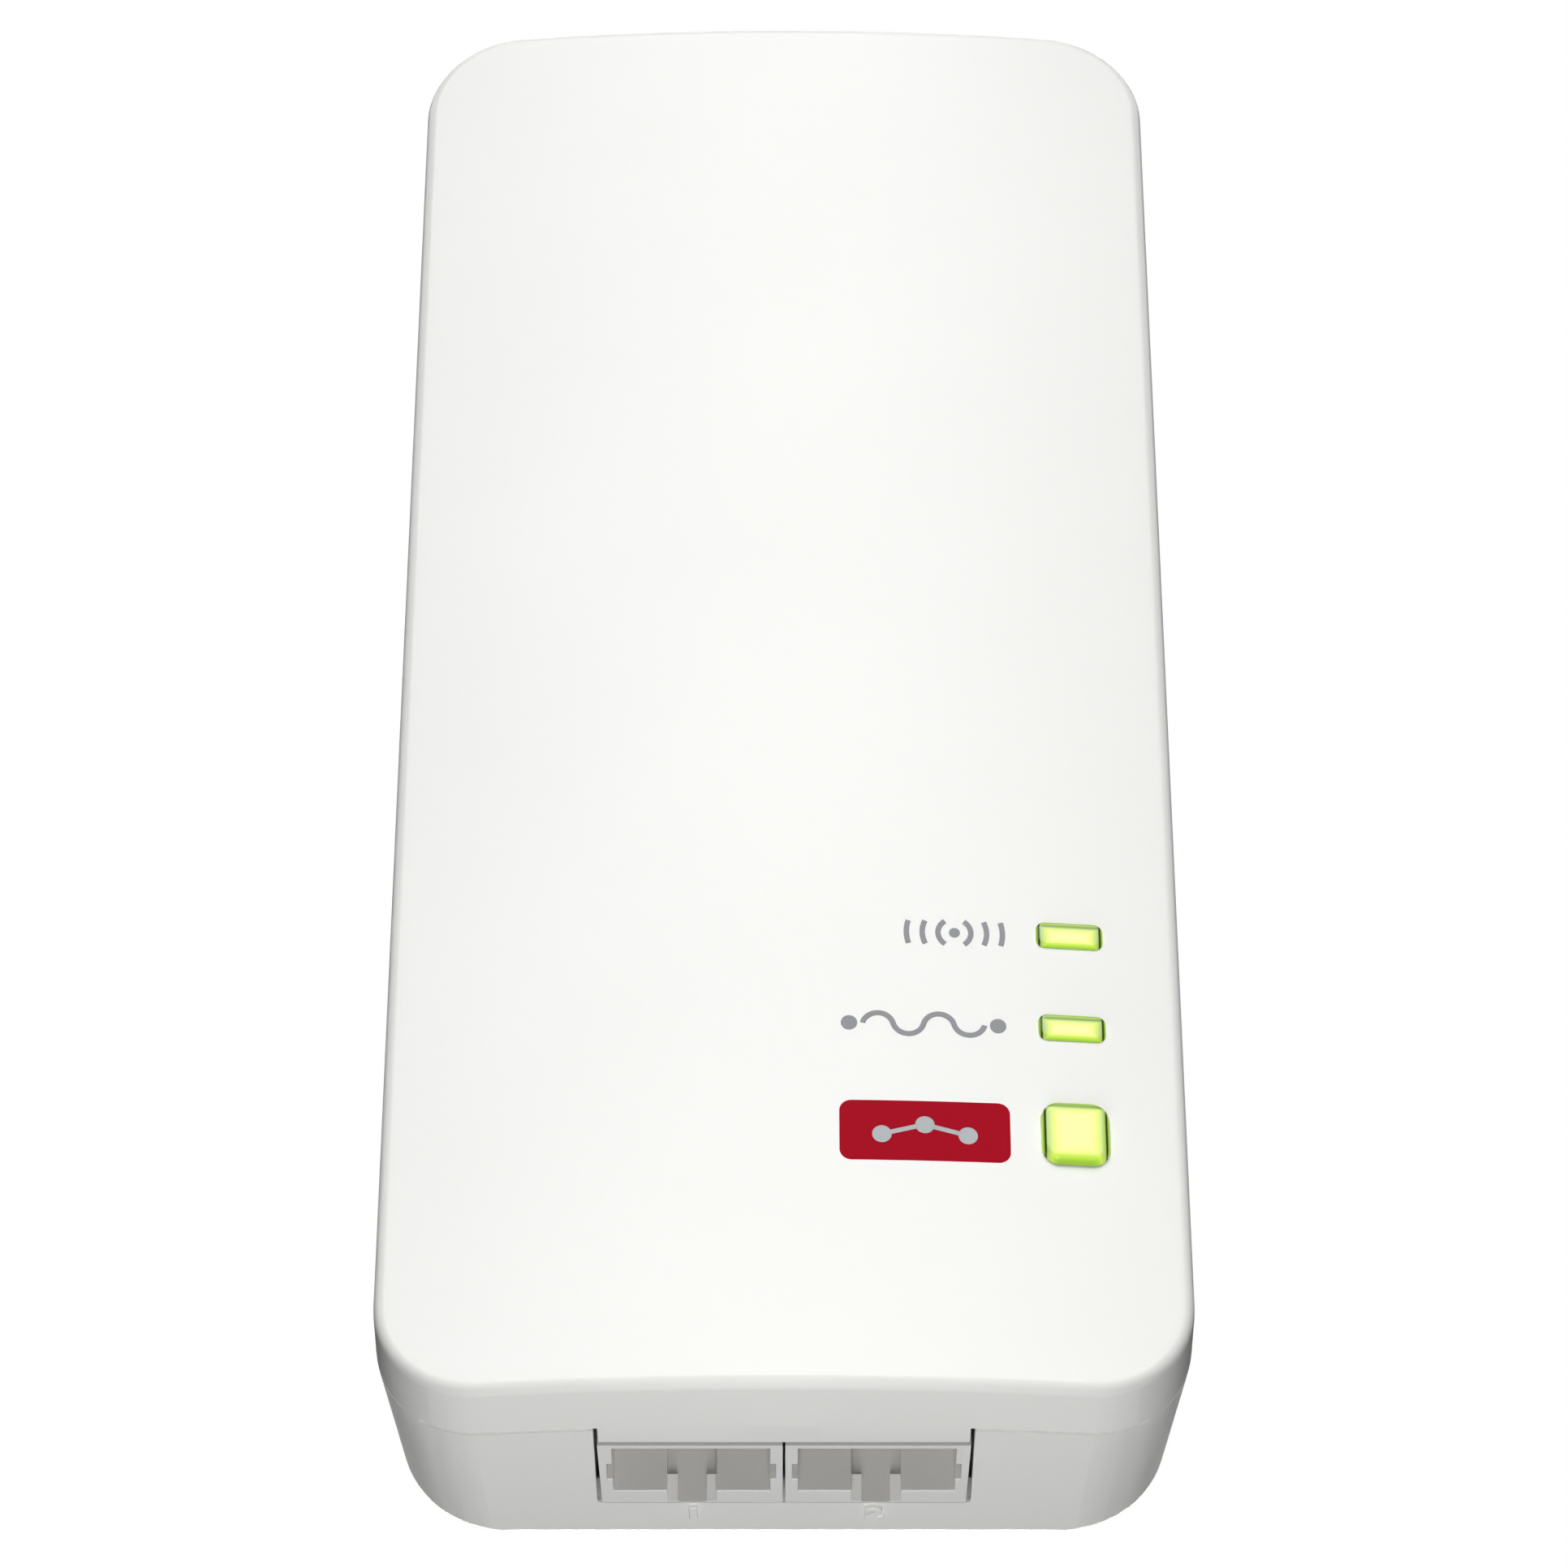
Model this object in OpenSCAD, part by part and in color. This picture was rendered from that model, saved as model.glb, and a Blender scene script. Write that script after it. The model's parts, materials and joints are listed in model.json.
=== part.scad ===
// Plug-in powerline adapter with two LAN sockets.
// Bench frame of every module: lying on its rear face, X across, Y up the length from the
// lower end, Z from the rear face to the front. in_use() stands it upright for the output.

/* [Housing] */
// Width of the housing at the parting line
body_w = 60.3; // [58:0.1:72]
// Length of the housing
body_l = 129.75; // [128:0.25:160]
// Thickness of the housing at the crest of the crowned front
body_t = 25.6; // [25:0.1:32]
// Radius of the crown across the front
crown_r = 215; // [150:5:600]
// Radius of the four corners, seen from the front
corner_r = 8; // [6:0.5:12]
// Fillet round the edge of the front
edge_r = 1; // [0.6:0.1:2.4]
// Fillet round the edge of the rear face
rear_edge_r = 0.8; // [0.3:0.1:1.5]
// Wall of both shells
wall = 2; // [1.6:0.1:2.4]
// Depth of the front cover from its crest to the parting line
cover_h = 6.2; // [5.5:0.1:7]
// Draft of the cover's side, in degrees
cover_draft = 1.2; // [0:0.1:3]
// Draft of the rear housing's side, in degrees
rear_draft = 3.1; // [0:0.1:4]
// Groove left at the parting line
seam = 0.25; // [0.1:0.05:0.5]
// Height of the lip that locates the cover
lip_h = 1.6; // [1:0.1:2]

/* [Plug] */
// Diameter of the plug's round body
plug_d = 37; // [35:0.5:38]
// How far the plug's body stands behind the housing
plug_h = 16.5; // [14:0.5:18]
// Distance of the plug's centre from the top end
plug_drop = 41.75; // [40:0.25:46]
// Wall of the plug's body
plug_wall = 2; // [1.5:0.1:2.5]
// Width of the flange that holds the plug's body behind the housing's wall
plug_rim = 1.6; // [1:0.1:1.8]
// Depth and width of the grooves beside the pins
guide_groove = [2.4, 5]; // [1:0.1:6]
// Depth and width of the grooves for the socket's clips
clip_groove = [2.8, 7]; // [1:0.1:8]
// Diameter of the contact pins
pin_d = 4.8; // [4:0.1:5]
// Free length of the contact pins
pin_l = 19; // [17:0.5:20]
// Distance between the two pins
pin_pitch = 19; // [17:0.5:20]
// How much thicker a pin is inside the carrier
pin_base = 0.8; // [0.4:0.1:1.2]
// Thickness of the carrier's plate, and length of its spigot
carrier = [2.5, 4]; // [2:0.1:6]
// Diameter and thickness of a pin's collar behind the carrier
collar = [6.8, 1.2]; // [1:0.1:8]
// Diameter and length of a pin's solder tail
tail = [3, 3.5]; // [2:0.1:5]

/* [LAN sockets] */
// Width, depth and height of one socket housing
jack = [13.55, 15, 10.5]; // [10:0.05:18]
// Distance between the two sockets
jack_pitch = 13.75; // [13.6:0.05:15]
// How far the socket faces lie behind the lower end
jack_recess = 0.7; // [0.6:0.1:1.5]
// Width, depth and height of the socket's opening
port = [11.65, 11.6, 6.65]; // [6:0.05:14]
// Clearance round the sockets in their window
window_gap = 0.18; // [0.1:0.02:0.4]

/* [Windows and button] */
// Distance of the windows and the button from the housing's side
column_inset = 8.5; // [8:0.05:10]
// Heights of the upper and lower window above the lower end
light_y = [38.8, 30.6]; // [28:0.1:45]
// Width of a light window
light_w = 5.1; // [4:0.1:6]
// Height of a light window
light_h = 2.2; // [1.6:0.1:3]
// How far a window stands proud of the front
light_proud = 0.4; // [0:0.1:0.8]
// Corner radius of a window
light_r = 0.55; // [0.2:0.05:1]
// Height of the button above the lower end
button_y = 21.2; // [19:0.1:22]
// Width and height of the square button
button_w = 5.05; // [4.4:0.05:5.6]
// How far the button stands proud of the front
button_proud = 0.9; // [0.6:0.1:1.4]
// Corner radius of the button
button_r = 1.1; // [0.4:0.1:2]
// Travel of the button
button_travel = 0.4; // [0.2:0.05:0.5]
// Overhang and thickness of the flanges behind the cover
flange = [0.9, 0.85]; // [0.5:0.05:1]

/* [Fastenings] */
// Thread diameter of the four housing screws
screw_d = 2.6; // [2.2:0.1:3]
// Diameter of the bosses for the housing screws
boss_d = 6.4; // [6:0.1:7]
// Thread diameter of the board screws
small_screw_d = 2; // [1.8:0.1:2.4]
// Diameter of the board posts
post_d = 5; // [4.4:0.1:5.6]

/* [Boards] */
// Thickness of both circuit boards
board_t = 1.2; // [0.8:0.1:1.6]
// Space between the housing and the sides of the main board
main_gap = 1.6; // [1.2:0.1:3]
// Space between the housing and the sides of the power board
power_gap = 1.4; // [1.2:0.1:3]
// Length of the power board
power_l = 57.7; // [56:0.1:60]
// How far the main board reaches over the power board
board_overlap = 4.2; // [4:0.1:6]
// Height of the power board above the inside of the rear face
power_lift = 1.6; // [1.4:0.1:2.4]

/* [Vents] */
// Width of a vent slot
vent_w = 1.8; // [1.2:0.1:2.4]
// Distance between vent slots
vent_pitch = 4.2; // [3.6:0.1:5]
// Slots in the top end
top_vents = 9; // [3:2:9]
// Slots in the rear face
rear_vents = 9; // [3:2:9]
// Length of the slots in the rear face, and how far their middle is above the lower end
rear_vent = [13, 40]; // [8:1:48]

/* [Parts on the main board] */
// Length, width and height of the powerline processor
processor = [14, 14, 1.3]; // [1:0.1:16]
// Length, width and height of the heat spreader
spreader = [20, 20, 3]; // [1:0.1:26]
// Length, width and height of the memory
memory = [12, 8, 1.1]; // [1:0.1:14]
// Length, width and height of the flash memory
flash = [6, 5, 0.9]; // [0.8:0.1:8]
// Length, width and height of the radio shield
shield = [17, 17, 2.4]; // [2:0.1:22]
// Length, width and height of a crystal
crystal = [3.2, 2.5, 0.8]; // [0.6:0.1:4]
// Length, width and height of an indicator LED
led = [1.6, 0.8, 0.7]; // [0.6:0.1:2]
// Length, width and height of the push switch
switch = [4.5, 4.5, 1.9]; // [1.5:0.1:5]
// Diameter of the push switch's plunger
plunger_d = 2.2; // [1.8:0.1:2.6]
// Length, width and height of a LAN transformer
lan_coil = [12.6, 9.4, 4.6]; // [4:0.1:13]
// Thickness, length and height of an antenna strip
antenna = [0.8, 30, 6.5]; // [0.6:0.1:32]
// Diameter of the antenna leads
coax_d = 1.2; // [1:0.1:1.4]

/* [Parts on the power board] */
// Diameter and height of the fuse
fuse_size = [8.4, 7.6]; // [7:0.1:9]
// Diameter and thickness of the varistor
varistor_size = [9, 4.2]; // [3:0.1:10]
// Length, width and height of the line filter capacitor
filter_cap = [17.5, 7.6, 13.5]; // [6:0.1:18]
// Outer diameter, bore and height of the choke's core
choke = [11.5, 6.5, 5]; // [4:0.1:12]
// Length, width and height of the bridge rectifier
bridge = [8.4, 6.2, 2.6]; // [2:0.1:9]
// Diameter and height of a bulk capacitor
bulk_cap = [10, 15.5]; // [8:0.1:16]
// Length, width and height of the transformer
transformer = [15.5, 17, 14]; // [12:0.1:18]
// Diameter and height of an output capacitor
output_cap = [8, 11.3]; // [6:0.1:12]
// Length, width and height of the switching controller
controller = [4.9, 3.9, 1.6]; // [1:0.1:6]
// Diameter and thickness of the safety capacitor
safety_cap = [7.5, 3.4]; // [3:0.1:8]
// Length, width and height of the optocoupler
opto = [6.4, 4.6, 3.4]; // [3:0.1:7]
// Length, width and height of the line coupling transformer
coupler = [8, 8, 7.5]; // [6:0.1:9]
// Length, width and height of the line coupling capacitor
coupling_cap = [5, 10, 9]; // [4:0.1:11]
// Contacts in the header between the boards
header_pins = 8; // [4:1:10]

/* [Hidden] */

// Fineness of the shells: steps in a corner, along an end, and in the front fillet
corner_steps = 8;
end_steps = 12;
fillet_steps = 5;
// A circle as wide as the crown needs many sides to match its true curve
crown_fn = 1440;
$fn = 48;

// Clearances, each used wherever that kind of fit occurs
fit_gap = 0.15;       // parts that slide into each other by hand
press_gap = 0.03;     // pins and screws in their holes
solder_gap = 0.02;    // parts that sit on a board
touch_gap = 0.05;     // the button over its plunger
past = 1;             // how far a cut runs past the face it leaves

// Heights above the rear face
parting = body_t - cover_h;
ceiling = body_t - wall;
tongue_h = 2.66;
tongue_z = parting - tongue_h;
jack_z1 = tongue_z - window_gap;
jack_z0 = jack_z1 - jack.z;
main_z = jack_z1;
main_top = main_z + board_t;
power_z = wall + power_lift;
power_top = power_z + board_t;

// Places along the length
plug_y = body_l - plug_drop;
power_y1 = body_l - wall - 1.2;
power_y0 = power_y1 - power_l;
main_y0 = wall + 0.3;
main_y1 = power_y0 + board_overlap;
barrier_t = 0.8;

// Bosses and screws of the housing
boss_inset = 6.3;
boss_y = 7;
boss_x = body_w / 2 - boss_inset;
boss_places = [[-boss_x, boss_y], [boss_x, boss_y],
    [-boss_x, body_l - boss_y], [boss_x, body_l - boss_y]];
boss_top = main_z - 0.4;
screw_seat = 12;
screw_head = [4.8, 1.9];
screw_l = 9;
small_head = [3.8, 1.4];
small_screw_l = 5;

// How far the crowned front has dropped at a distance x from the centre line
function crown(x) = crown_r - sqrt(crown_r * crown_r - x * x);
// Inset of the rear housing's drafted side at a height z, from the parting line's outline
function rear_inset(z) = tan(rear_draft) * (parting - z);
// Half the inner width of the rear housing at a height z
function inner_x(z) = body_w / 2 - rear_inset(z) - wall;
// Middle of a piece that follows another one along a line, with a gap between the two
function after(place, size, gap, next) = place + size / 2 + gap + next / 2;
function before(place, size, gap, next) = place - size / 2 - gap - next / 2;

// Boards, their posts, and the barrier, which clears both the board and the plug's flange
barrier_y = min(power_y0 - 2.6, before(plug_y, plug_d + 2 * plug_rim, 0.5, barrier_t));
main_w = 2 * (inner_x(main_z) - main_gap);
power_w = 2 * (inner_x(power_z) - power_gap);
post_inset = 3.2;
post_gap = 0.8;
main_post_x = main_w / 2 - post_inset;
main_posts = [for (x = [-main_post_x, main_post_x],
    y = [main_y0 + 12.6, barrier_y - barrier_t / 2 - post_d / 2 - post_gap]) [x, y]];
power_low_x = power_w / 2 - post_inset;
power_high_x = before(boss_x, boss_d, 1.1, post_d);
power_high_y = power_y1 - 2.7;
power_posts = [[-power_low_x, power_y0 + 10.6], [power_low_x, power_y0 + 10.6],
    [-power_high_x, power_high_y], [power_high_x, power_high_y]];
power_corner = [boss_x - boss_d / 2 - 0.9, body_l - boss_y - boss_d / 2 - 0.9];

// Windows, button and switch
column_x = body_w / 2 - column_inset;
column_ceiling = ceiling - crown(column_x + button_w / 2 + flange[0]);
switch_top = main_top + solder_gap + switch.z;
plunger_top = switch_top + button_travel + 0.55;
dome_room = 0.25;             // room for the snap dome under the plunger's foot
plunger_foot = [1.2, 0.35];   // extra diameter and thickness of the plunger's foot
switch_lid = 0.45;            // wall over the plunger's foot

// LAN sockets
function jack_x(side) = side * jack_pitch / 2;
jack_y1 = jack_recess + jack.y;
contact_pitch = 1.02;
contact_w = 0.46;
contact_t = 0.32;
tail_y = jack_y1 - 2.2;
port_z0 = jack_z0 + 1.87;     // wall-side face of the opening
port_z1 = port_z0 + port.z;
comb_h = 1;                   // recess in the opening's ceiling for the contacts
comb_y0 = 4.4;                // where that recess begins
latch = [3.72, 1.1];          // latch channel between the tabs: width and depth
latch_slot = [2.15, 1.5];     // width of the slot between the tabs, and depth behind them
latch_tab = 2.3;              // length of the two tabs at the mouth
slot_mouth = 1;               // length over which the slot is open at the bottom
notch = [0.42, 2.45];         // small notches in the sides of the opening
notch_z = port_z0 + 1.85;
wires = 8;                    // contacts in one socket
spring_l = 5.2;               // free length of a contact's spring
function wire_x(side, i) = jack_x(side) + (i - (wires - 1) / 2) * contact_pitch;

// Header between the boards
header_pitch = 2;
header_pin = 0.5;
header_y = main_y1 - board_overlap / 2;

// Places on the main board. The radio stands beside the windows, the processor beside it
part_gap = 1.2;
chip_foot = 0.9;              // length of a chip's lead
memory_y = before(header_y, header_pitch, part_gap, memory.y + 2 * chip_foot);
processor_y = before(memory_y, memory.y + 2 * chip_foot, part_gap, spreader.y);
shield_y = before(header_y, header_pitch, 5, shield.y);
shield_x = before(column_x, light_w, part_gap, shield.x);
processor_x = before(shield_x, shield.x, part_gap, spreader.x);
memory_x = processor_x + (spreader.x - memory.x) / 2 - 1;
crystal_places = [[processor_x, before(processor_y, spreader.y, part_gap, crystal.y)],
    [shield_x, before(shield_y, shield.y, part_gap, crystal.y)]];
flash_at = [-main_w / 2 + flash.x / 2 + 1.8, main_y0 + 19.5];
socket_size = [2.6, 1.2];     // width and height of an antenna socket
socket_x = main_w / 2 - 2.2;
socket_y = main_y1 - 4;

// Antenna strips stand in their holders along the side walls
antenna_x = inner_x(power_top + 3) - antenna.x / 2 - 0.2;
antenna_z = power_top + 3.6;
antenna_y = power_y0 + 36;
antenna_ends = [antenna_y - antenna.y / 2 + 3, antenna_y + antenna.y / 2 - 3];
antenna_feed = [4, 5.2];      // where a lead meets its strip, from the holder and from the edge

// Places on the power board, from its upper edge, its sides or its lower edge
edge_gap = 1;
lead_d = 1.8;                 // thickness of the leads from the plug
coil_d = 1.3;                 // spacing of the choke's turns from its core
upper_y = before(power_high_y, small_head[0], 0.4, 0);
bulk_x = power_w / 2 - bulk_cap[0] / 2 - 1.2;
bulk_y0 = before(power_corner.y, 0, 0.5, bulk_cap[0]);
bulk_y = [bulk_y0, before(bulk_y0, bulk_cap[0], 1.2, bulk_cap[0])];
fuse_at = [before(bulk_x, bulk_cap[0], 0.6, fuse_size[0]), upper_y - fuse_size[0] / 2];
varistor_at = [before(bulk_x, bulk_cap[0], 2.2, varistor_size[0]),
    before(fuse_at.y, fuse_size[0], edge_gap, varistor_size[1])];
bridge_at = [6, before(varistor_at.y, varistor_size[1], 1.2, bridge.y)];
filter_at = [after(-power_corner.x, 0, edge_gap, filter_cap.x), upper_y - filter_cap.y / 2];
coupler_at = [-power_w / 2 + coupler.x / 2 + edge_gap,
    before(filter_at.y, filter_cap.y, 2, coupler.y)];
coupling_at = [-power_w / 2 + coupling_cap.x / 2 + edge_gap,
    before(coupler_at.y, coupler.y, 1.2, coupling_cap.y)];
choke_at = [after(coupler_at.x, coupler.x, 0.3, choke[0] + 2 * coil_d),
    before(filter_at.y, filter_cap.y, 1.6, choke[0])];
transformer_at = [0, power_y0 + 21.5];
output_y = power_y0 + output_cap[0] / 2 + 4.6;
output_x = after(0, transformer.x, 0, output_cap[0]);
opto_at = [before(0, transformer.x, 5.4, opto.y), power_y0 + 19];
safety_at = [before(0, transformer.x, 4.8, safety_cap[1]),
    after(opto_at.y, opto.x, edge_gap, safety_cap[0])];
controller_at = [after(0, transformer.x, 6, controller.x), power_y0 + 21];

// Lower half of a rounded rectangle that lies `inset` inside the housing's outline,
// from left to right
function lower_half(inset, r) =
    let (a = body_w / 2 - inset, c = a - r)
    concat(
        [for (i = [0 : corner_steps]) let (t = 90 * i / corner_steps)
            [-c - r * cos(t), inset + r - r * sin(t)]],
        [for (i = [1 : end_steps - 1]) [-c + 2 * c * i / end_steps, inset]],
        [for (i = [corner_steps : -1 : 0]) let (t = 90 * i / corner_steps)
            [c + r * cos(t), inset + r - r * sin(t)]]);

// One closed ring of the housing. Its height follows the crown when bend is 1
function ring(inset, r, z, bend) =
    let (low = lower_half(inset, max(r, 0.6)), n = len(low))
    [for (i = [0 : 2 * n - 1])
        let (p = low[i < n ? i : 2 * n - 1 - i])
        [p.x, i < n ? p.y : body_l - p.y, z - bend * crown(p.x)]];

// A ring at an inset, with its corners kept concentric with the housing's
function inset_ring(inset, z, bend) = ring(inset, corner_r - inset, z, bend);

// A closed solid through rings that are stacked from low to high. Both ends are capped
// with strips that run along the length, so that they follow the crown.
module loft(rings) {
    n = len(rings[0]);
    top = n * (len(rings) - 1);
    sides = [for (k = [0 : len(rings) - 2], i = [0 : n - 1])
        let (a = k * n + i, b = k * n + (i + 1) % n)
        each [[a, b + n, b], [a, a + n, b + n]]];
    bottom_cap = [for (i = [0 : n / 2 - 2])
        each [[i, i + 1, n - 2 - i], [i, n - 2 - i, n - 1 - i]]];
    top_cap = [for (f = bottom_cap) [top + f[2], top + f[1], top + f[0]]];
    polyhedron(points = [for (r = rings) each r], faces = concat(sides, bottom_cap, top_cap));
}

// Stands the bench frame upright, with the origin at the centre of the plug's face
module in_use() {
    translate([0, -plug_h, -plug_y]) rotate([90, 0, 0]) children();
}

module at(x, y, z) {
    translate([x, y, z]) children();
}

// A box centred in x and y that stands on z = 0
module block(size) {
    translate([-size.x / 2, -size.y / 2, 0]) cube(size);
}

// A rectangle centred on the origin with true round corners
module round_rect(w, h, r) {
    square([w - 2 * r, h], center = true);
    square([w, h - 2 * r], center = true);
    for (x = [-1, 1], y = [-1, 1]) translate([x * (w / 2 - r), y * (h / 2 - r)]) circle(r);
}

module round_block(size, r) {
    linear_extrude(size.z) round_rect(size.x, size.y, r);
}

// A tube or rod between two points
module rod(a, b, d) {
    v = b - a;
    l = norm(v);
    translate(a) rotate([0, acos(v.z / l), atan2(v.y, v.x)]) cylinder(h = l, d = d);
}

// A point of the smooth curve that leaves a along a_way and comes into b along b_way
function curve_point(a, a_way, b, b_way, t) =
    pow(1 - t, 3) * a + 3 * t * pow(1 - t, 2) * (a + a_way)
    + 3 * t * t * (1 - t) * (b - b_way) + pow(t, 3) * b;

// A round lead along that curve, which never runs along X
module lead(a, a_way, b, b_way, d) {
    steps = 14;
    sides = 8;
    path = [for (i = [0 : steps]) curve_point(a, a_way, b, b_way, i / steps)];
    points = [for (i = [0 : steps])
        let (t = path[min(i + 1, steps)] - path[max(i - 1, 0)],
            u = cross(t, [1, 0, 0]) / norm(cross(t, [1, 0, 0])), v = cross(u, t) / norm(t))
        for (k = [0 : sides - 1]) let (turn = 360 * k / sides)
            path[i] + d / 2 * (cos(turn) * u + sin(turn) * v)];
    walls = [for (i = [0 : steps - 1], k = [0 : sides - 1])
        let (p = i * sides + k, q = i * sides + (k + 1) % sides)
        each [[p, q, q + sides], [p, q + sides, p + sides]]];
    first = [for (k = [sides - 1 : -1 : 0]) k];
    last = [for (k = [0 : sides - 1]) steps * sides + k];
    polyhedron(points = points, faces = concat(walls, [first, last]));
}

// The space under the crown, lifted by proud: what follows the front is cut to it
module under_crown(proud) {
    at(0, -past, body_t + proud - crown_r) rotate([-90, 0, 0])
        cylinder(r = crown_r, h = body_l + 2 * past, $fn = crown_fn);
}

// A screw that points to +Z, with the underside of its head at z = 0
module screw(d, l, head) {
    tip = d / 2;
    difference() {
        at(0, 0, -head[1]) cylinder(d = head[0], h = head[1]);
        at(0, 0, -head[1]) for (a = [0, 90]) rotate(a)
            block([head[0] * 0.6, head[0] * 0.16, head[1] * 0.6]);
    }
    cylinder(d = d, h = l - tip);
    at(0, 0, l - tip) cylinder(d1 = d, d2 = d * 0.3, h = tip);
}

// ---- Housing ----

// Outer form of the cover: side, fillet and crowned front
module cover_form() {
    side_in = tan(cover_draft) * (cover_h - edge_r);
    loft(concat(
        [inset_ring(0, parting, 1)],
        [for (k = [0 : fillet_steps]) let (t = 90 * k / fillet_steps)
            inset_ring(side_in + edge_r * (1 - cos(t)), body_t - edge_r * (1 - sin(t)), 1)]));
}

// Inside of the cover
module cover_hollow() {
    side_in = tan(cover_draft) * (cover_h - edge_r) + wall;
    inner_r = max(edge_r - wall / 2, 0.6);
    loft([inset_ring(wall, tongue_z - past, 0),
        inset_ring(wall, parting, 1),
        inset_ring(side_in, ceiling - inner_r, 1),
        inset_ring(side_in + inner_r * 0.3, ceiling - inner_r * 0.3, 1),
        inset_ring(side_in + inner_r, ceiling, 1)]);
}

// Outer form of the rear housing: drafted side and filleted rear edge
module rear_form(top) {
    foot = rear_inset(rear_edge_r);
    loft([inset_ring(foot + rear_edge_r, 0, 0),
        inset_ring(foot + rear_edge_r * 0.3, rear_edge_r * 0.3, 0),
        inset_ring(foot, rear_edge_r, 0),
        inset_ring(rear_inset(top), top, 1)]);
}

// Inside of the rear housing, open at the top
module rear_hollow() {
    foot = rear_inset(wall) + wall;
    loft([inset_ring(foot + rear_edge_r, wall, 0),
        inset_ring(foot, wall + rear_edge_r, 0),
        inset_ring(wall, parting, 1),
        inset_ring(wall, parting + lip_h + past, 1)]);
}

// The window for the two sockets, which is open towards the cover
module socket_window(gap) {
    w = jack_pitch + jack.x + 2 * gap;
    r = 0.5;
    z0 = jack_z0 - gap;
    at(0, -past, 0) rotate([90, 0, 0]) mirror([0, 0, 1]) linear_extrude(wall * 2 + past) {
        translate([-w / 2, z0 + r]) square([w, body_t - z0]);
        translate([-w / 2 + r, z0]) square([w - 2 * r, 2 * r]);
        for (x = [-1, 1]) translate([x * (w / 2 - r), z0 + r]) circle(r);
    }
}

// A frame under the cover's ceiling that guides what passes through the front
module guide_frame(w, h, z0) {
    rim = 1;
    intersection() {
        at(0, 0, z0) difference() {
            block([w + 2 * rim, h + 2 * rim, body_t - z0]);
            at(0, 0, -past) block([w, h, body_t]);
        }
        at(-column_x, -button_y, 0) under_crown(-wall / 2);
    }
}

module column_guide(y, w, h, r) {
    // Hole through the cover for a window or the button
    at(column_x, y, main_top) linear_extrude(body_t) round_rect(w, h, r);
}

module front_cover() in_use() color([0.95, 0.95, 0.94]) {
    rib = [1, 2.2];
    rib_half = boss_x - boss_d;
    difference() {
        union() {
            difference() {
                cover_form();
                cover_hollow();
                // Step for the rear housing's lip
                loft([inset_ring(wall / 2, tongue_z - past, 0),
                    inset_ring(wall / 2, parting + lip_h + fit_gap, 1)]);
            }
            // Tongue over the sockets, which carries on the rear housing's draft
            intersection() {
                difference() {
                    rear_form(parting);
                    at(0, body_l / 2 + wall, 0) block([body_w, body_l, body_t]);
                }
                at(0, wall / 2, tongue_z) block([jack_pitch + jack.x, wall, body_t]);
            }
            at(0, wall * 0.75, tongue_z)
                block([jack_pitch + jack.x, wall / 2, tongue_h + lip_h + 2 * fit_gap]);
            // Posts for the housing screws
            for (p = boss_places) at(p.x, p.y, boss_top + seam)
                cylinder(d = boss_d, h = ceiling + wall / 2 - crown(boss_x) - boss_top - seam);
            // Stiffening ribs across the ceiling
            for (y = [body_l * 0.5, body_l * 0.64, body_l * 0.78])
                at(0, y, ceiling - crown(rib_half) - rib[1] / 2)
                    block([2 * rib_half, rib[0], rib[1]]);
            at(column_x, button_y, 0)
                guide_frame(button_w + 2 * flange[0] + 2 * fit_gap,
                    button_w + 2 * flange[0] + 2 * fit_gap, column_ceiling - 2);
            for (y = light_y) at(column_x, y, 0)
                guide_frame(light_w + 2 * flange[0] + 2 * fit_gap,
                    light_h + 2 * flange[0] + 2 * fit_gap, column_ceiling - 1.4);
        }
        for (p = boss_places) at(p.x, p.y, boss_top)
            cylinder(d = screw_d + 2 * press_gap, h = screw_l - (boss_top - screw_seat) + 0.6);
        column_guide(button_y, button_w + 2 * fit_gap, button_w + 2 * fit_gap,
            button_r + fit_gap);
        for (y = light_y)
            column_guide(y, light_w + 2 * press_gap, light_h + 2 * press_gap,
                light_r + press_gap);
    }
}

// ---- Plug ----

// Cross-section of the plug's body, shrunk on every side
module plug_section(shrink) {
    difference() {
        circle(d = plug_d - 2 * shrink, $fn = 96);
        for (s = [-1, 1]) {
            translate([s * plug_d / 2, 0])
                square([2 * (guide_groove[0] + shrink), guide_groove[1] + 2 * shrink],
                    center = true);
            translate([0, s * plug_d / 2])
                square([clip_groove[1] + 2 * shrink, 2 * (clip_groove[0] + shrink)],
                    center = true);
        }
    }
}

module plug_piece(shrink, z0, z1) {
    at(0, plug_y, z0) linear_extrude(z1 - z0) plug_section(shrink);
}

module vent_row(count) {
    for (i = [0 : count - 1]) at((i - (count - 1) / 2) * vent_pitch, 0, 0) children();
}

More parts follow.
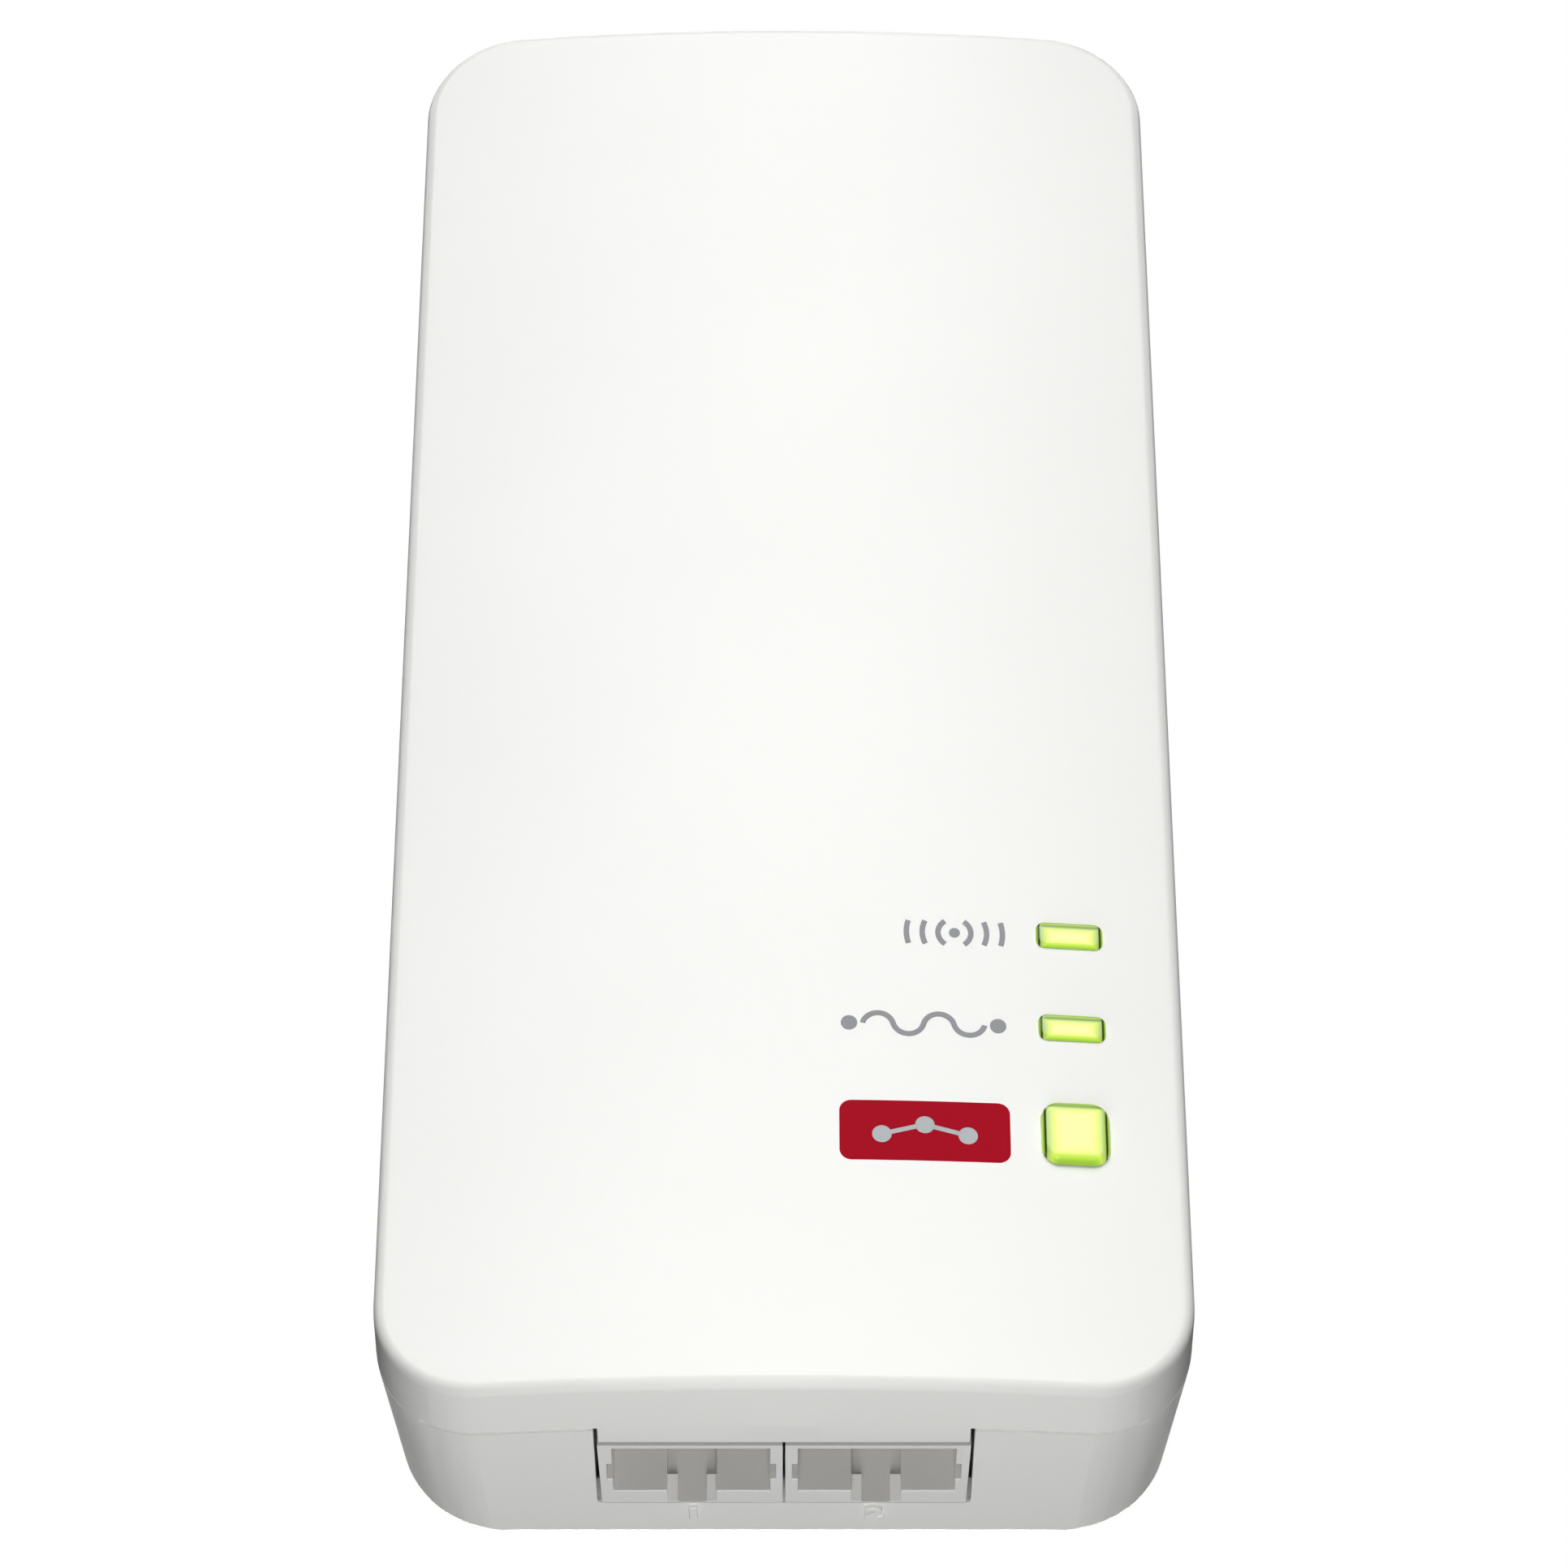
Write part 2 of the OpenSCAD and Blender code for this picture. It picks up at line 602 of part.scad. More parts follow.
module rear_housing() in_use() color([0.93, 0.93, 0.92]) {
    rim = parting - seam;
    holder = [2.4, 2.2, 6];
    rail = [3, 1.2, 6];
    holder_z = power_top + 1;
    difference() {
        union() {
            difference() {
                union() {
                    intersection() {
                        rear_form(parting);
                        loft([inset_ring(0, -past, 0), inset_ring(0, rim, 1)]);
                    }
                    // Lip inside the cover
                    loft([inset_ring(wall / 2 + fit_gap, parting - wall, 1),
                        inset_ring(wall / 2 + fit_gap, parting + lip_h, 1)]);
                }
                rear_hollow();
            }
            for (p = boss_places) at(p.x, p.y, wall / 2)
                cylinder(d = boss_d, h = boss_top - wall / 2);
            for (p = main_posts) at(p.x, p.y, wall / 2)
                cylinder(d = post_d, h = main_z - solder_gap - wall / 2);
            for (p = power_posts) at(p.x, p.y, wall / 2)
                cylinder(d = post_d, h = power_z - solder_gap - wall / 2);
            // Slotted holders for the antenna strips
            for (s = [-1, 1], y = antenna_ends) mirror([s > 0 ? 0 : 1, 0, 0])
                at(inner_x(holder_z) - holder.x / 2 + 0.6, y, holder_z) block(holder);
            // Walls that hold the isolating barrier
            for (s = [-1, 1], dy = [-1, 1])
                at(s * (inner_x(wall) - 2), after(barrier_y, dy * barrier_t, dy * fit_gap,
                    dy * rail.y), wall / 2) block(rail);
        }
        plug_piece(-fit_gap, -past, wall + past);
        socket_window(window_gap);
        for (p = boss_places) at(p.x, p.y, 0) {
            at(0, 0, -past) cylinder(d = screw_d + 2 * fit_gap, h = body_t);
            at(0, 0, -past) cylinder(d = screw_head[0] + 2 * fit_gap, h = screw_seat + past);
        }
        for (p = main_posts) at(p.x, p.y, main_z - small_screw_l + board_t)
            cylinder(d = small_screw_d + 2 * press_gap, h = small_screw_l);
        for (p = power_posts) at(p.x, p.y, wall / 2)
            cylinder(d = small_screw_d + 2 * press_gap, h = power_z);
        for (s = [-1, 1]) mirror([s > 0 ? 0 : 1, 0, 0])
            at(antenna_x, antenna_y, antenna_z - solder_gap)
                block([antenna.x + 2 * solder_gap, antenna.y + 4, body_t]);
        // Vents through the top end and the rear face
        vent_row(top_vents) at(0, body_l, power_top + 1.5) block([vent_w, 3 * wall, 7]);
        vent_row(rear_vents) at(0, rear_vent[1], -past)
            block([vent_w, rear_vent[0], wall + 2 * past]);
    }
}
// The plug's body passes through the rear housing and is held there by its flange, which
// lies between the housing's wall and the power board
module plug_body() in_use() color([0.93, 0.93, 0.92]) difference() {
    union() {
        plug_piece(0, -plug_h + carrier[0], wall + 2 * solder_gap);
        at(0, plug_y, wall + solder_gap)
            cylinder(d = plug_d + 2 * plug_rim, h = power_z - wall - 2 * solder_gap, $fn = 96);
    }
    plug_piece(plug_wall, -plug_h, power_z + past);
}

module pin_carrier() in_use() color([0.85, 0.85, 0.84]) {
    difference() {
        union() {
            plug_piece(0, -plug_h, -plug_h + carrier[0] - press_gap);
            plug_piece(plug_wall + fit_gap, -plug_h, -plug_h + carrier[0] + carrier[1]);
        }
        for (s = [-1, 1]) at(s * pin_pitch / 2, plug_y, -plug_h - past)
            cylinder(d = pin_d + pin_base + 2 * press_gap, h = carrier[0] + carrier[1] + 2 * past);
        // Hollow behind the plate, between two webs round the pins
        at(0, plug_y, -plug_h + carrier[0])
            block([pin_pitch - pin_d - 4, plug_d - 16, carrier[1] + past]);
    }
}

// The thicker base of a pin sits in the carrier, with its shoulder at the plug's face
module contact_pin(side) {
    tip = pin_d * 0.22;
    end = -plug_h - pin_l;
    face = -plug_h + solder_gap;
    inner = -plug_h + carrier[0] + carrier[1] + press_gap;
    base = (pin_d + pin_base) / 2;
    at(side * pin_pitch / 2, plug_y, 0) rotate_extrude() polygon([
        [0, end], [pin_d / 2 - tip, end], [pin_d / 2, end + tip], [pin_d / 2, face],
        [base, face], [base, inner], [collar[0] / 2, inner],
        [collar[0] / 2, inner + collar[1]], [tail[0] / 2, inner + collar[1]],
        [tail[0] / 2, inner + collar[1] + tail[1]], [0, inner + collar[1] + tail[1]]]);
}

module line_pin() in_use() color([0.8, 0.78, 0.72]) contact_pin(-1);
module neutral_pin() in_use() color([0.8, 0.78, 0.72]) contact_pin(1);

// ---- Front controls ----

module connect_button() in_use() color([0.75, 1, 0.35]) {
    base = column_ceiling - 0.1;
    stem_d = 3;
    intersection() {
        at(column_x, button_y, base - flange[1])
            round_block([button_w, button_w, body_t], button_r);
        under_crown(button_proud);
    }
    at(column_x, button_y, base - flange[1])
        block([button_w + 2 * flange[0], button_w + 2 * flange[0], flange[1]]);
    at(column_x, button_y, plunger_top + touch_gap)
        cylinder(d = stem_d, h = base - flange[1] / 2 - plunger_top - touch_gap);
}

module light_guide(y) {
    z0 = main_top + led.z + 0.4;
    intersection() {
        at(column_x, y, z0) round_block([light_w, light_h, body_t], light_r);
        under_crown(light_proud);
    }
    at(column_x, y, column_ceiling - flange[1] - solder_gap)
        block([light_w + 2 * flange[0], light_h + 2 * flange[0], flange[1]]);
}

module wlan_light_guide() in_use() color([0.8, 1, 0.45, 0.8]) light_guide(light_y[0]);
module powerline_light_guide() in_use() color([0.8, 1, 0.45, 0.8]) light_guide(light_y[1]);

module housing_screws() in_use() color([0.6, 0.6, 0.62])
    for (p = boss_places) at(p.x, p.y, screw_seat - press_gap) screw(screw_d, screw_l, screw_head);

// ---- Main board ----

module board_holes(places) {
    for (p = places) translate(p) circle(d = small_screw_d + 2 * fit_gap);
}

module main_board() in_use() color([0.1, 0.35, 0.2]) {
    corner = boss_y + boss_d / 2 + 1;
    at(0, 0, main_z) linear_extrude(board_t) difference() {
        translate([-main_w / 2, main_y0]) square([main_w, main_y1 - main_y0]);
        for (s = [-1, 1]) translate([s * main_w / 2, main_y0])
            square([2 * (main_w / 2 - boss_x + boss_d / 2 + 1), 2 * (corner - main_y0)],
                center = true);
        board_holes(main_posts);
        for (s = [-1, 1], i = [0 : wires - 1]) translate([wire_x(s, i), tail_y])
            circle(d = contact_w + 2 * fit_gap, $fn = 24);
        header_row() circle(d = header_pin + 4 * fit_gap, $fn = 24);
    }
}

module lan_jack(side) {
    back = jack_recess + port.y;
    tab_end = jack_recess + latch_tab;
    comb_w = wires * contact_pitch + 0.4;
    comb_l = tail_y - comb_y0 + 2 * contact_t;
    difference() {
        at(jack_x(side), jack_recess + jack.y / 2, jack_z0)
            block([jack.x, jack.y, jack.z - solder_gap]);
        at(jack_x(side), 0, 0) {
            at(0, back / 2, port_z0) block([port.x, back, port.z]);
            at(0, back / 2, notch_z) block([port.x + 2 * notch[0], back, notch[1]]);
            at(0, back / 2, port_z0 - latch[1]) block([latch[0], back, latch[1] + past]);
            at(0, back / 2, port_z0 - latch_slot[1]) block([latch_slot[0], back, latch_slot[1]]);
            at(0, (tab_end + back) / 2, port_z0 - latch_slot[1])
                block([latch[0], back - tab_end, latch_slot[1]]);
            at(0, 0, jack_z0 - past)
                block([latch_slot[0], 2 * (jack_recess + slot_mouth), port_z0 - jack_z0]);
            at(0, comb_y0 + comb_l / 2, port_z1 - 0.01) block([comb_w, comb_l, comb_h]);
            at(0, tail_y, port_z1) block([comb_w, 2 * contact_t, jack.z]);
        }
    }
}

// Spring contacts: solder tail, run along the ceiling, and the spring folded back
module jack_contacts(side) {
    run_z = port_z1 + comb_h - 0.2;
    fold_y = comb_y0 + 1;
    spring_y = fold_y + spring_l;
    spring_z = port_z0 + port.z * 0.7;
    foot = main_top + 0.6;
    profile = [[tail_y + contact_t / 2, foot], [tail_y + contact_t / 2, run_z - contact_t],
        [fold_y + 0.3, run_z - contact_t], [fold_y + 0.45, run_z - 2 * contact_t],
        [spring_y, spring_z], [spring_y - 0.12, spring_z - contact_t],
        [fold_y, run_z - 2.2 * contact_t], [fold_y - contact_t, run_z - contact_t],
        [fold_y, run_z], [tail_y - contact_t / 2, run_z], [tail_y - contact_t / 2, foot]];
    for (i = [0 : wires - 1]) at(wire_x(side, i) - contact_w / 2, 0, 0)
        rotate([90, 0, 90]) linear_extrude(contact_w) polygon(profile);
}

module lan_jack_1() in_use() color([0.78, 0.78, 0.77]) lan_jack(-1);
module lan_jack_2() in_use() color([0.78, 0.78, 0.77]) lan_jack(1);
module jack_contacts_1() in_use() color([0.85, 0.7, 0.3]) jack_contacts(-1);
module jack_contacts_2() in_use() color([0.85, 0.7, 0.3]) jack_contacts(1);

// A chip with gull-wing leads along two sides, on the side of a board that faces +Z
module chip(size, leads, pitch) {
    at(0, 0, 0.1) block([size.x, size.y, size.z - 0.1]);
    for (s = [-1, 1], i = [0 : leads - 1])
        at((i - (leads - 1) / 2) * pitch, s * (size.y / 2 + chip_foot / 2 - 0.1), 0)
            block([pitch * 0.45, chip_foot, size.z * 0.45]);
}

module on_main(x, y) {
    at(x, y, main_top + solder_gap) children();
}

module under_main(x, y) {
    at(x, y, main_z - solder_gap) mirror([0, 0, 1]) children();
}

module lan_transformers() in_use() color([0.12, 0.12, 0.13])
    for (s = [-1, 1]) under_main(jack_x(s), jack_y1 + 9) chip(lan_coil, 8, 1.27);

module powerline_processor() in_use() color([0.15, 0.15, 0.16])
    on_main(processor_x, processor_y) {
        at(0, 0, 0.15) round_block([processor.x, processor.y, processor.z - 0.15], 0.4);
        block([processor.x - 1.6, processor.y - 1.6, 0.2]);
    }

module heat_spreader() in_use() color([0.75, 0.76, 0.78]) {
    fins = 7;
    base = spreader.z * 0.4;
    on_main(processor_x, processor_y) at(0, 0, processor.z + solder_gap) {
        block([spreader.x, spreader.y, base]);
        for (i = [0 : fins - 1]) at((i / (fins - 1) - 0.5) * (spreader.x - 1.2), 0, 0)
            block([1.2, spreader.y, spreader.z]);
    }
}

module memory_chip() in_use() color([0.14, 0.14, 0.15])
    on_main(memory_x, memory_y) chip(memory, 12, 0.8);

module flash_chip() in_use() color([0.14, 0.14, 0.15])
    on_main(flash_at.x, flash_at.y) chip(flash, 4, 1.27);

module radio_shield() in_use() color([0.72, 0.73, 0.74]) {
    tin = 0.3;
    hole_d = 1.2;
    on_main(shield_x, shield_y) difference() {
        round_block(shield, 0.8);
        at(0, 0, -tin) round_block([shield.x - 2 * tin, shield.y - 2 * tin, shield.z], 0.5);
        for (x = [-2 : 2], y = [-1 : 1]) at(x * shield.x / 5, y * shield.y / 4, 0)
            cylinder(d = hole_d, h = shield.z + past);
    }
}

module crystals() in_use() color([0.8, 0.8, 0.78])
    for (p = crystal_places)
        on_main(p.x, p.y) round_block(crystal, 0.4);

module led_piece(x, y) {
    on_main(x, y) {
        block([led.x, led.y, led.z * 0.4]);
        at(0, 0, led.z * 0.4) block([led.x * 0.7, led.y, led.z * 0.6]);
    }
}

module wlan_led() in_use() color([0.9, 1, 0.6]) led_piece(column_x, light_y[0]);
module powerline_led() in_use() color([0.9, 1, 0.6]) led_piece(column_x, light_y[1]);
module connect_led() in_use() color([0.9, 1, 0.6])
    led_piece(column_x, button_y + switch.y / 2 + led.y);

module switch_body() in_use() color([0.3, 0.3, 0.32])
    on_main(column_x, button_y) {
        room_d = plunger_d + plunger_foot[0] + 4 * fit_gap;
        room_h = plunger_foot[1] + button_travel + dome_room;
        difference() {
            round_block(switch, 0.4);
            at(0, 0, switch.z - switch_lid - room_h) cylinder(d = room_d, h = room_h);
            at(0, 0, switch.z / 2) cylinder(d = plunger_d + 2 * touch_gap, h = switch.z);
        }
        for (s = [-1, 1], y = [-1.5, 1.5]) at(s * (switch.x / 2 + 0.35), y, 0)
            block([0.9, 0.7, 0.25]);
    }

module switch_plunger() in_use() color([0.15, 0.15, 0.15])
    at(column_x, button_y, 0) {
        foot_z = switch_top - switch_lid - plunger_foot[1] - touch_gap;
        at(0, 0, foot_z) cylinder(d = plunger_d + plunger_foot[0], h = plunger_foot[1]);
        at(0, 0, foot_z) cylinder(d = plunger_d, h = plunger_top - foot_z);
    }

// ---- Antennas ----

module antenna_strip(side) {
    mirror([side > 0 ? 0 : 1, 0, 0]) at(antenna_x, antenna_y, antenna_z) {
        block(antenna);
        // Printed radiator on the inner face
        for (z = [1.2, 3.4]) at(-antenna.x / 2 - 0.05, 0, z)
            block([0.1, antenna.y - 9, 1]);
    }
}

module antenna_left() in_use() color([0.15, 0.4, 0.25]) antenna_strip(-1);
module antenna_right() in_use() color([0.15, 0.4, 0.25]) antenna_strip(1);

module antenna_sockets() in_use() color([0.85, 0.75, 0.4])
    for (s = [-1, 1]) on_main(s * socket_x, socket_y) {
        block([socket_size[0], socket_size[0], 0.4]);
        cylinder(d = socket_size[0] - 0.6, h = socket_size[1]);
    }

module antenna_leads() in_use() color([0.1, 0.1, 0.1]) {
    plug_z = main_top + 2 * solder_gap + socket_size[1];
    start = [socket_x, socket_y, plug_z + coax_d / 2 + 0.1];
    end = [antenna_x - antenna.x / 2 - coax_d / 2 - fit_gap,
        antenna_ends[0] + antenna_feed[0], antenna_z + antenna_feed[1]];
    for (s = [-1, 1]) mirror([s > 0 ? 0 : 1, 0, 0]) {
        at(socket_x, socket_y, plug_z) cylinder(d = socket_size[0], h = coax_d + 0.3);
        lead(start, [0, 8, 0.5], end, [0, 10, 0], coax_d);
    }
}

module board_screws() in_use() color([0.65, 0.65, 0.66]) {
    for (p = main_posts) at(p.x, p.y, main_top + solder_gap) mirror([0, 0, 1])
        screw(small_screw_d, small_screw_l, small_head);
    for (p = power_posts) at(p.x, p.y, power_top + solder_gap) mirror([0, 0, 1])
        screw(small_screw_d, board_t + power_lift + wall / 2 - 0.2, small_head);
}

// ---- Between the boards ----

module header_row() {
    for (i = [0 : header_pins - 1])
        translate([(i - (header_pins - 1) / 2) * header_pitch, header_y]) children();
}

module board_header() in_use() color([0.1, 0.1, 0.1]) {
    base_h = 2.5;
    tip = 1;
    at(0, header_y, power_top + solder_gap)
        block([header_pins * header_pitch, header_pitch, base_h]);
    at(0, header_y, main_z - solder_gap - base_h)
        block([header_pins * header_pitch, header_pitch, base_h]);
    header_row() at(0, 0, power_z) cylinder(d = header_pin, h = main_top - power_z + tip, $fn = 24);
}

module isolating_barrier() in_use() color([0.9, 0.9, 0.85]) {
    top = main_z - 0.4;
    half = inner_x(wall) - rear_edge_r - 0.3;
    at(0, barrier_y, wall + solder_gap) block([2 * half, barrier_t, top - wall - solder_gap]);
}

// ---- Power board ----

module power_board() in_use() color([0.12, 0.32, 0.2]) {
    at(0, 0, power_z) linear_extrude(board_t) difference() {
        translate([-power_w / 2, power_y0]) square([power_w, power_y1 - power_y0]);
        for (s = [-1, 1]) translate([s > 0 ? power_corner.x : -power_corner.x - power_w,
            power_corner.y]) square([power_w, power_y1]);
        board_holes(power_posts);
        for (s = [-1, 1]) translate([s * pin_pitch / 2, plug_y]) circle(d = lead_d + 2 * fit_gap);
        header_row() circle(d = header_pin + 4 * fit_gap, $fn = 24);
    }
}

module mains_leads() in_use() color([0.5, 0.3, 0.2]) {
    low = -plug_h + carrier[0] + carrier[1] + collar[1] + tail[1] + 2 * press_gap;
    for (s = [-1, 1]) at(s * pin_pitch / 2, plug_y, low)
        cylinder(d = lead_d, h = power_top + 0.8 - low);
}

module on_power(x, y) {
    at(x, y, power_top + solder_gap) children();
}

module fuse() in_use() color([0.35, 0.2, 0.12]) on_power(fuse_at.x, fuse_at.y) {
    cylinder(d = fuse_size[0], h = fuse_size[1] - 0.6);
    cylinder(d = fuse_size[0] - 1.2, h = fuse_size[1]);
}

// A disc that stands on its edge, with two wire legs
module disc_part(size) {
    leg = 1.4;
    at(0, size[1] / 2, size[0] / 2 + leg) rotate([90, 0, 0]) cylinder(d = size[0], h = size[1]);
    for (s = [-1, 1]) at(s * size[0] * 0.28, 0, 0)
        cylinder(d = 0.7, h = size[0] / 2 + leg, $fn = 24);
}

module varistor() in_use() color([0.2, 0.35, 0.65])
    on_power(varistor_at.x, varistor_at.y) disc_part(varistor_size);

module filter_capacitor() in_use() color([0.85, 0.75, 0.2])
    on_power(filter_at.x, filter_at.y) round_block(filter_cap, 0.6);

module choke_core() in_use() color([0.25, 0.3, 0.25])
    on_power(choke_at.x, choke_at.y) at(0, 0, coil_d + fit_gap) difference() {
        cylinder(d = choke[0], h = choke[2]);
        at(0, 0, -past) cylinder(d = choke[1], h = choke[2] + 2 * past);
    }

// Turns of wire on both halves of the core
module choke_windings() in_use() color([0.75, 0.4, 0.2]) {
    turns = 5;
    mid = (choke[0] + choke[1]) / 4;
    gap = fit_gap + coil_d / 2;
    half_w = (choke[0] - choke[1]) / 4 + gap;
    h = choke[2] + 2 * gap;
    on_power(choke_at.x, choke_at.y) for (s = [0, 180], i = [0 : turns - 1])
        rotate(s + (i - (turns - 1) / 2) * 26) at(mid, 0, coil_d / 2)
            for (x = [-1, 1]) {
                rod([x * half_w, 0, 0], [x * half_w, 0, h], coil_d * 0.7);
                rod([-half_w, 0, x > 0 ? h : 0], [half_w, 0, x > 0 ? h : 0], coil_d * 0.7);
            }
}

module bridge_rectifier() in_use() color([0.14, 0.14, 0.15])
    on_power(bridge_at.x, bridge_at.y) chip(bridge, 2, 5.1);

// A can capacitor with a beaded groove and a vent cross
module can_capacitor(size) {
    r = size[0] / 2;
    bead = 0.35;
    difference() {
        cylinder(r = r, h = size[1]);
        at(0, 0, size[1] * 0.14) rotate_extrude() translate([r, 0]) circle(bead, $fn = 24);
        at(0, 0, size[1] - 0.3) for (a = [45, 135]) rotate(a) block([r * 1.3, 0.4, past]);
    }
}

module bulk_capacitors() in_use() color([0.15, 0.2, 0.35])
    for (y = bulk_y) on_power(bulk_x, y) can_capacitor(bulk_cap);

module output_capacitors() in_use() color([0.15, 0.2, 0.35])
    for (s = [-1, 1]) on_power(s * output_x, output_y) can_capacitor(output_cap);

// The core's outer legs stand beside the winding, and its yokes run over and under it
yoke = 3.2;
leg_w = 2.6;
centre_leg = 4.4;
core_inset = 5;    // how much shorter the core is than the bobbin
bobbin_foot = 0.8; // height of the bobbin's feet under the core
pin_rail = 2.2;    // width of the rails that carry the bobbin's pins

module transformer_core() in_use() color([0.2, 0.2, 0.22]) {
    w = transformer.x;
    d = transformer.y - core_inset;
    h = transformer.z - bobbin_foot;
    bay = w / 2 - leg_w - centre_leg / 2;
    on_power(transformer_at.x, transformer_at.y) at(0, 0, bobbin_foot) difference() {
        block([w, d, h]);
        for (s = [-1, 1]) at(s * (w / 2 - leg_w - bay / 2), 0, yoke)
            block([bay, d + past, h - 2 * yoke]);
    }
}

module transformer_winding() in_use() color([0.9, 0.85, 0.5]) {
    w = transformer.x - 2 * leg_w - 2 * fit_gap;
    z0 = bobbin_foot + yoke + fit_gap;
    h = transformer.z - bobbin_foot - 2 * yoke - 2 * fit_gap;
    on_power(transformer_at.x, transformer_at.y) {
        at(0, 0, z0) difference() {
            block([w, transformer.y, h]);
            at(0, 0, -past) block([centre_leg + 2 * fit_gap,
                transformer.y - core_inset + 2 * fit_gap, h + 2 * past]);
        }
        // Pin rails of the bobbin under both ends
        for (s = [-1, 1]) at(0, s * (transformer.y - pin_rail) / 2, 0)
            block([w, pin_rail, z0 + h / 2]);
    }
}

module switching_controller() in_use() color([0.14, 0.14, 0.15])
    on_power(controller_at.x, controller_at.y) chip(controller, 4, 1.27);

module safety_capacitor() in_use() color([0.2, 0.4, 0.7])
    on_power(safety_at.x, safety_at.y) rotate(90) disc_part(safety_cap);

module optocoupler() in_use() color([0.16, 0.16, 0.17])
    on_power(opto_at.x, opto_at.y) rotate(90) chip(opto, 2, 2.54);

module coupling_transformer() in_use() color([0.85, 0.8, 0.6])
    on_power(coupler_at.x, coupler_at.y) {
        block([coupler.x, coupler.y, 1.2]);
        cylinder(d = coupler.x - 1, h = coupler.z);
        at(0, 0, coupler.z - 1.2) block([coupler.x, coupler.y, 1.2]);
    }

module coupling_capacitor() in_use() color([0.85, 0.75, 0.2])
    on_power(coupling_at.x, coupling_at.y) round_block(coupling_cap, 0.5);

front_cover();
rear_housing();
plug_body();
pin_carrier();
line_pin();
neutral_pin();
connect_button();
wlan_light_guide();
powerline_light_guide();
housing_screws();
main_board();
lan_jack_1();
lan_jack_2();
jack_contacts_1();
jack_contacts_2();
lan_transformers();
powerline_processor();
heat_spreader();
memory_chip();
flash_chip();
radio_shield();
crystals();
wlan_led();
powerline_led();
connect_led();
switch_body();
switch_plunger();
antenna_left();
antenna_right();
antenna_sockets();
antenna_leads();
board_screws();
board_header();
isolating_barrier();
power_board();
mains_leads();
fuse();
varistor();
filter_capacitor();
choke_core();
choke_windings();
bridge_rectifier();
bulk_capacitors();
transformer_core();
transformer_winding();
switching_controller();
safety_capacitor();
optocoupler();
output_capacitors();
coupling_transformer();
coupling_capacitor();
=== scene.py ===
"""Looks of a plug-in powerline adapter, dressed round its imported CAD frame.

Axes are the frame's: the front faces -Y, +Z is up along the housing, and +X is the side with
the windows and the button. Sizes are millimetres until they reach Blender.
"""

import sys

import json
import logging
import math
from collections.abc import Callable, Iterable, Sequence
from dataclasses import dataclass, field
from enum import Enum

import bmesh
import bpy
from mathutils import Matrix, Vector
from mathutils.bvhtree import BVHTree


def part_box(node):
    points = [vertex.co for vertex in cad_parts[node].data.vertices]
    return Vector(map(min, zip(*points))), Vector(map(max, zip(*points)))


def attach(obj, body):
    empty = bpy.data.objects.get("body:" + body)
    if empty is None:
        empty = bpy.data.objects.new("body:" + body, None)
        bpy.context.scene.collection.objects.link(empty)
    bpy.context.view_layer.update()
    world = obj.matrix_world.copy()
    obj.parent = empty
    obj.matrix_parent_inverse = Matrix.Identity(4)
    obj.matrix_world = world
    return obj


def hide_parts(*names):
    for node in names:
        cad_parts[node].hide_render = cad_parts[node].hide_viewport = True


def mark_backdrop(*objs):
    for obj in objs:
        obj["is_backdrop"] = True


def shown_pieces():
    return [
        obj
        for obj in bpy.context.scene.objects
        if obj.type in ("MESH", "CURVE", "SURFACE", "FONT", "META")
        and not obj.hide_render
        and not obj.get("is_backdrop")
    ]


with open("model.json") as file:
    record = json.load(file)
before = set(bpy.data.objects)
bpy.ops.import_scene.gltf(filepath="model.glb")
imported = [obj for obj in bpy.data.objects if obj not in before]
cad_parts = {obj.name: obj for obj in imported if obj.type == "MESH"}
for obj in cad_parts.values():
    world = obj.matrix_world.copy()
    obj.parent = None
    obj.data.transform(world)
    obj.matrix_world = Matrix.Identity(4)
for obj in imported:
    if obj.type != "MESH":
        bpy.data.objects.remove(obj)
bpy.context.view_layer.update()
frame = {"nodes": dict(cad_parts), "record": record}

log = logging.getLogger("adapter")
MM = 0.001
# Picking, in millimetres: the same place, next to an edge, and in a band along an edge.
TOUCH = 0.01
NEAR = 0.1
BAND = 0.5
# Inset of a step that goes straight out, and a normal's least share along its axis.
SHEER = 0.0001
UPRIGHT = 0.9
POINTS_FRAME = 1568

Node = bpy.types.ShaderNode
Socket = bpy.types.NodeSocket
Colour = tuple[float, float, float]
Place = Sequence[float]


# ---- Places that come from the frame ----


def box_mm(node: str) -> tuple[Vector, Vector]:
    """Gives a CAD node's lowest and highest corners in millimetres."""
    low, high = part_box(node)
    return low / MM, high / MM


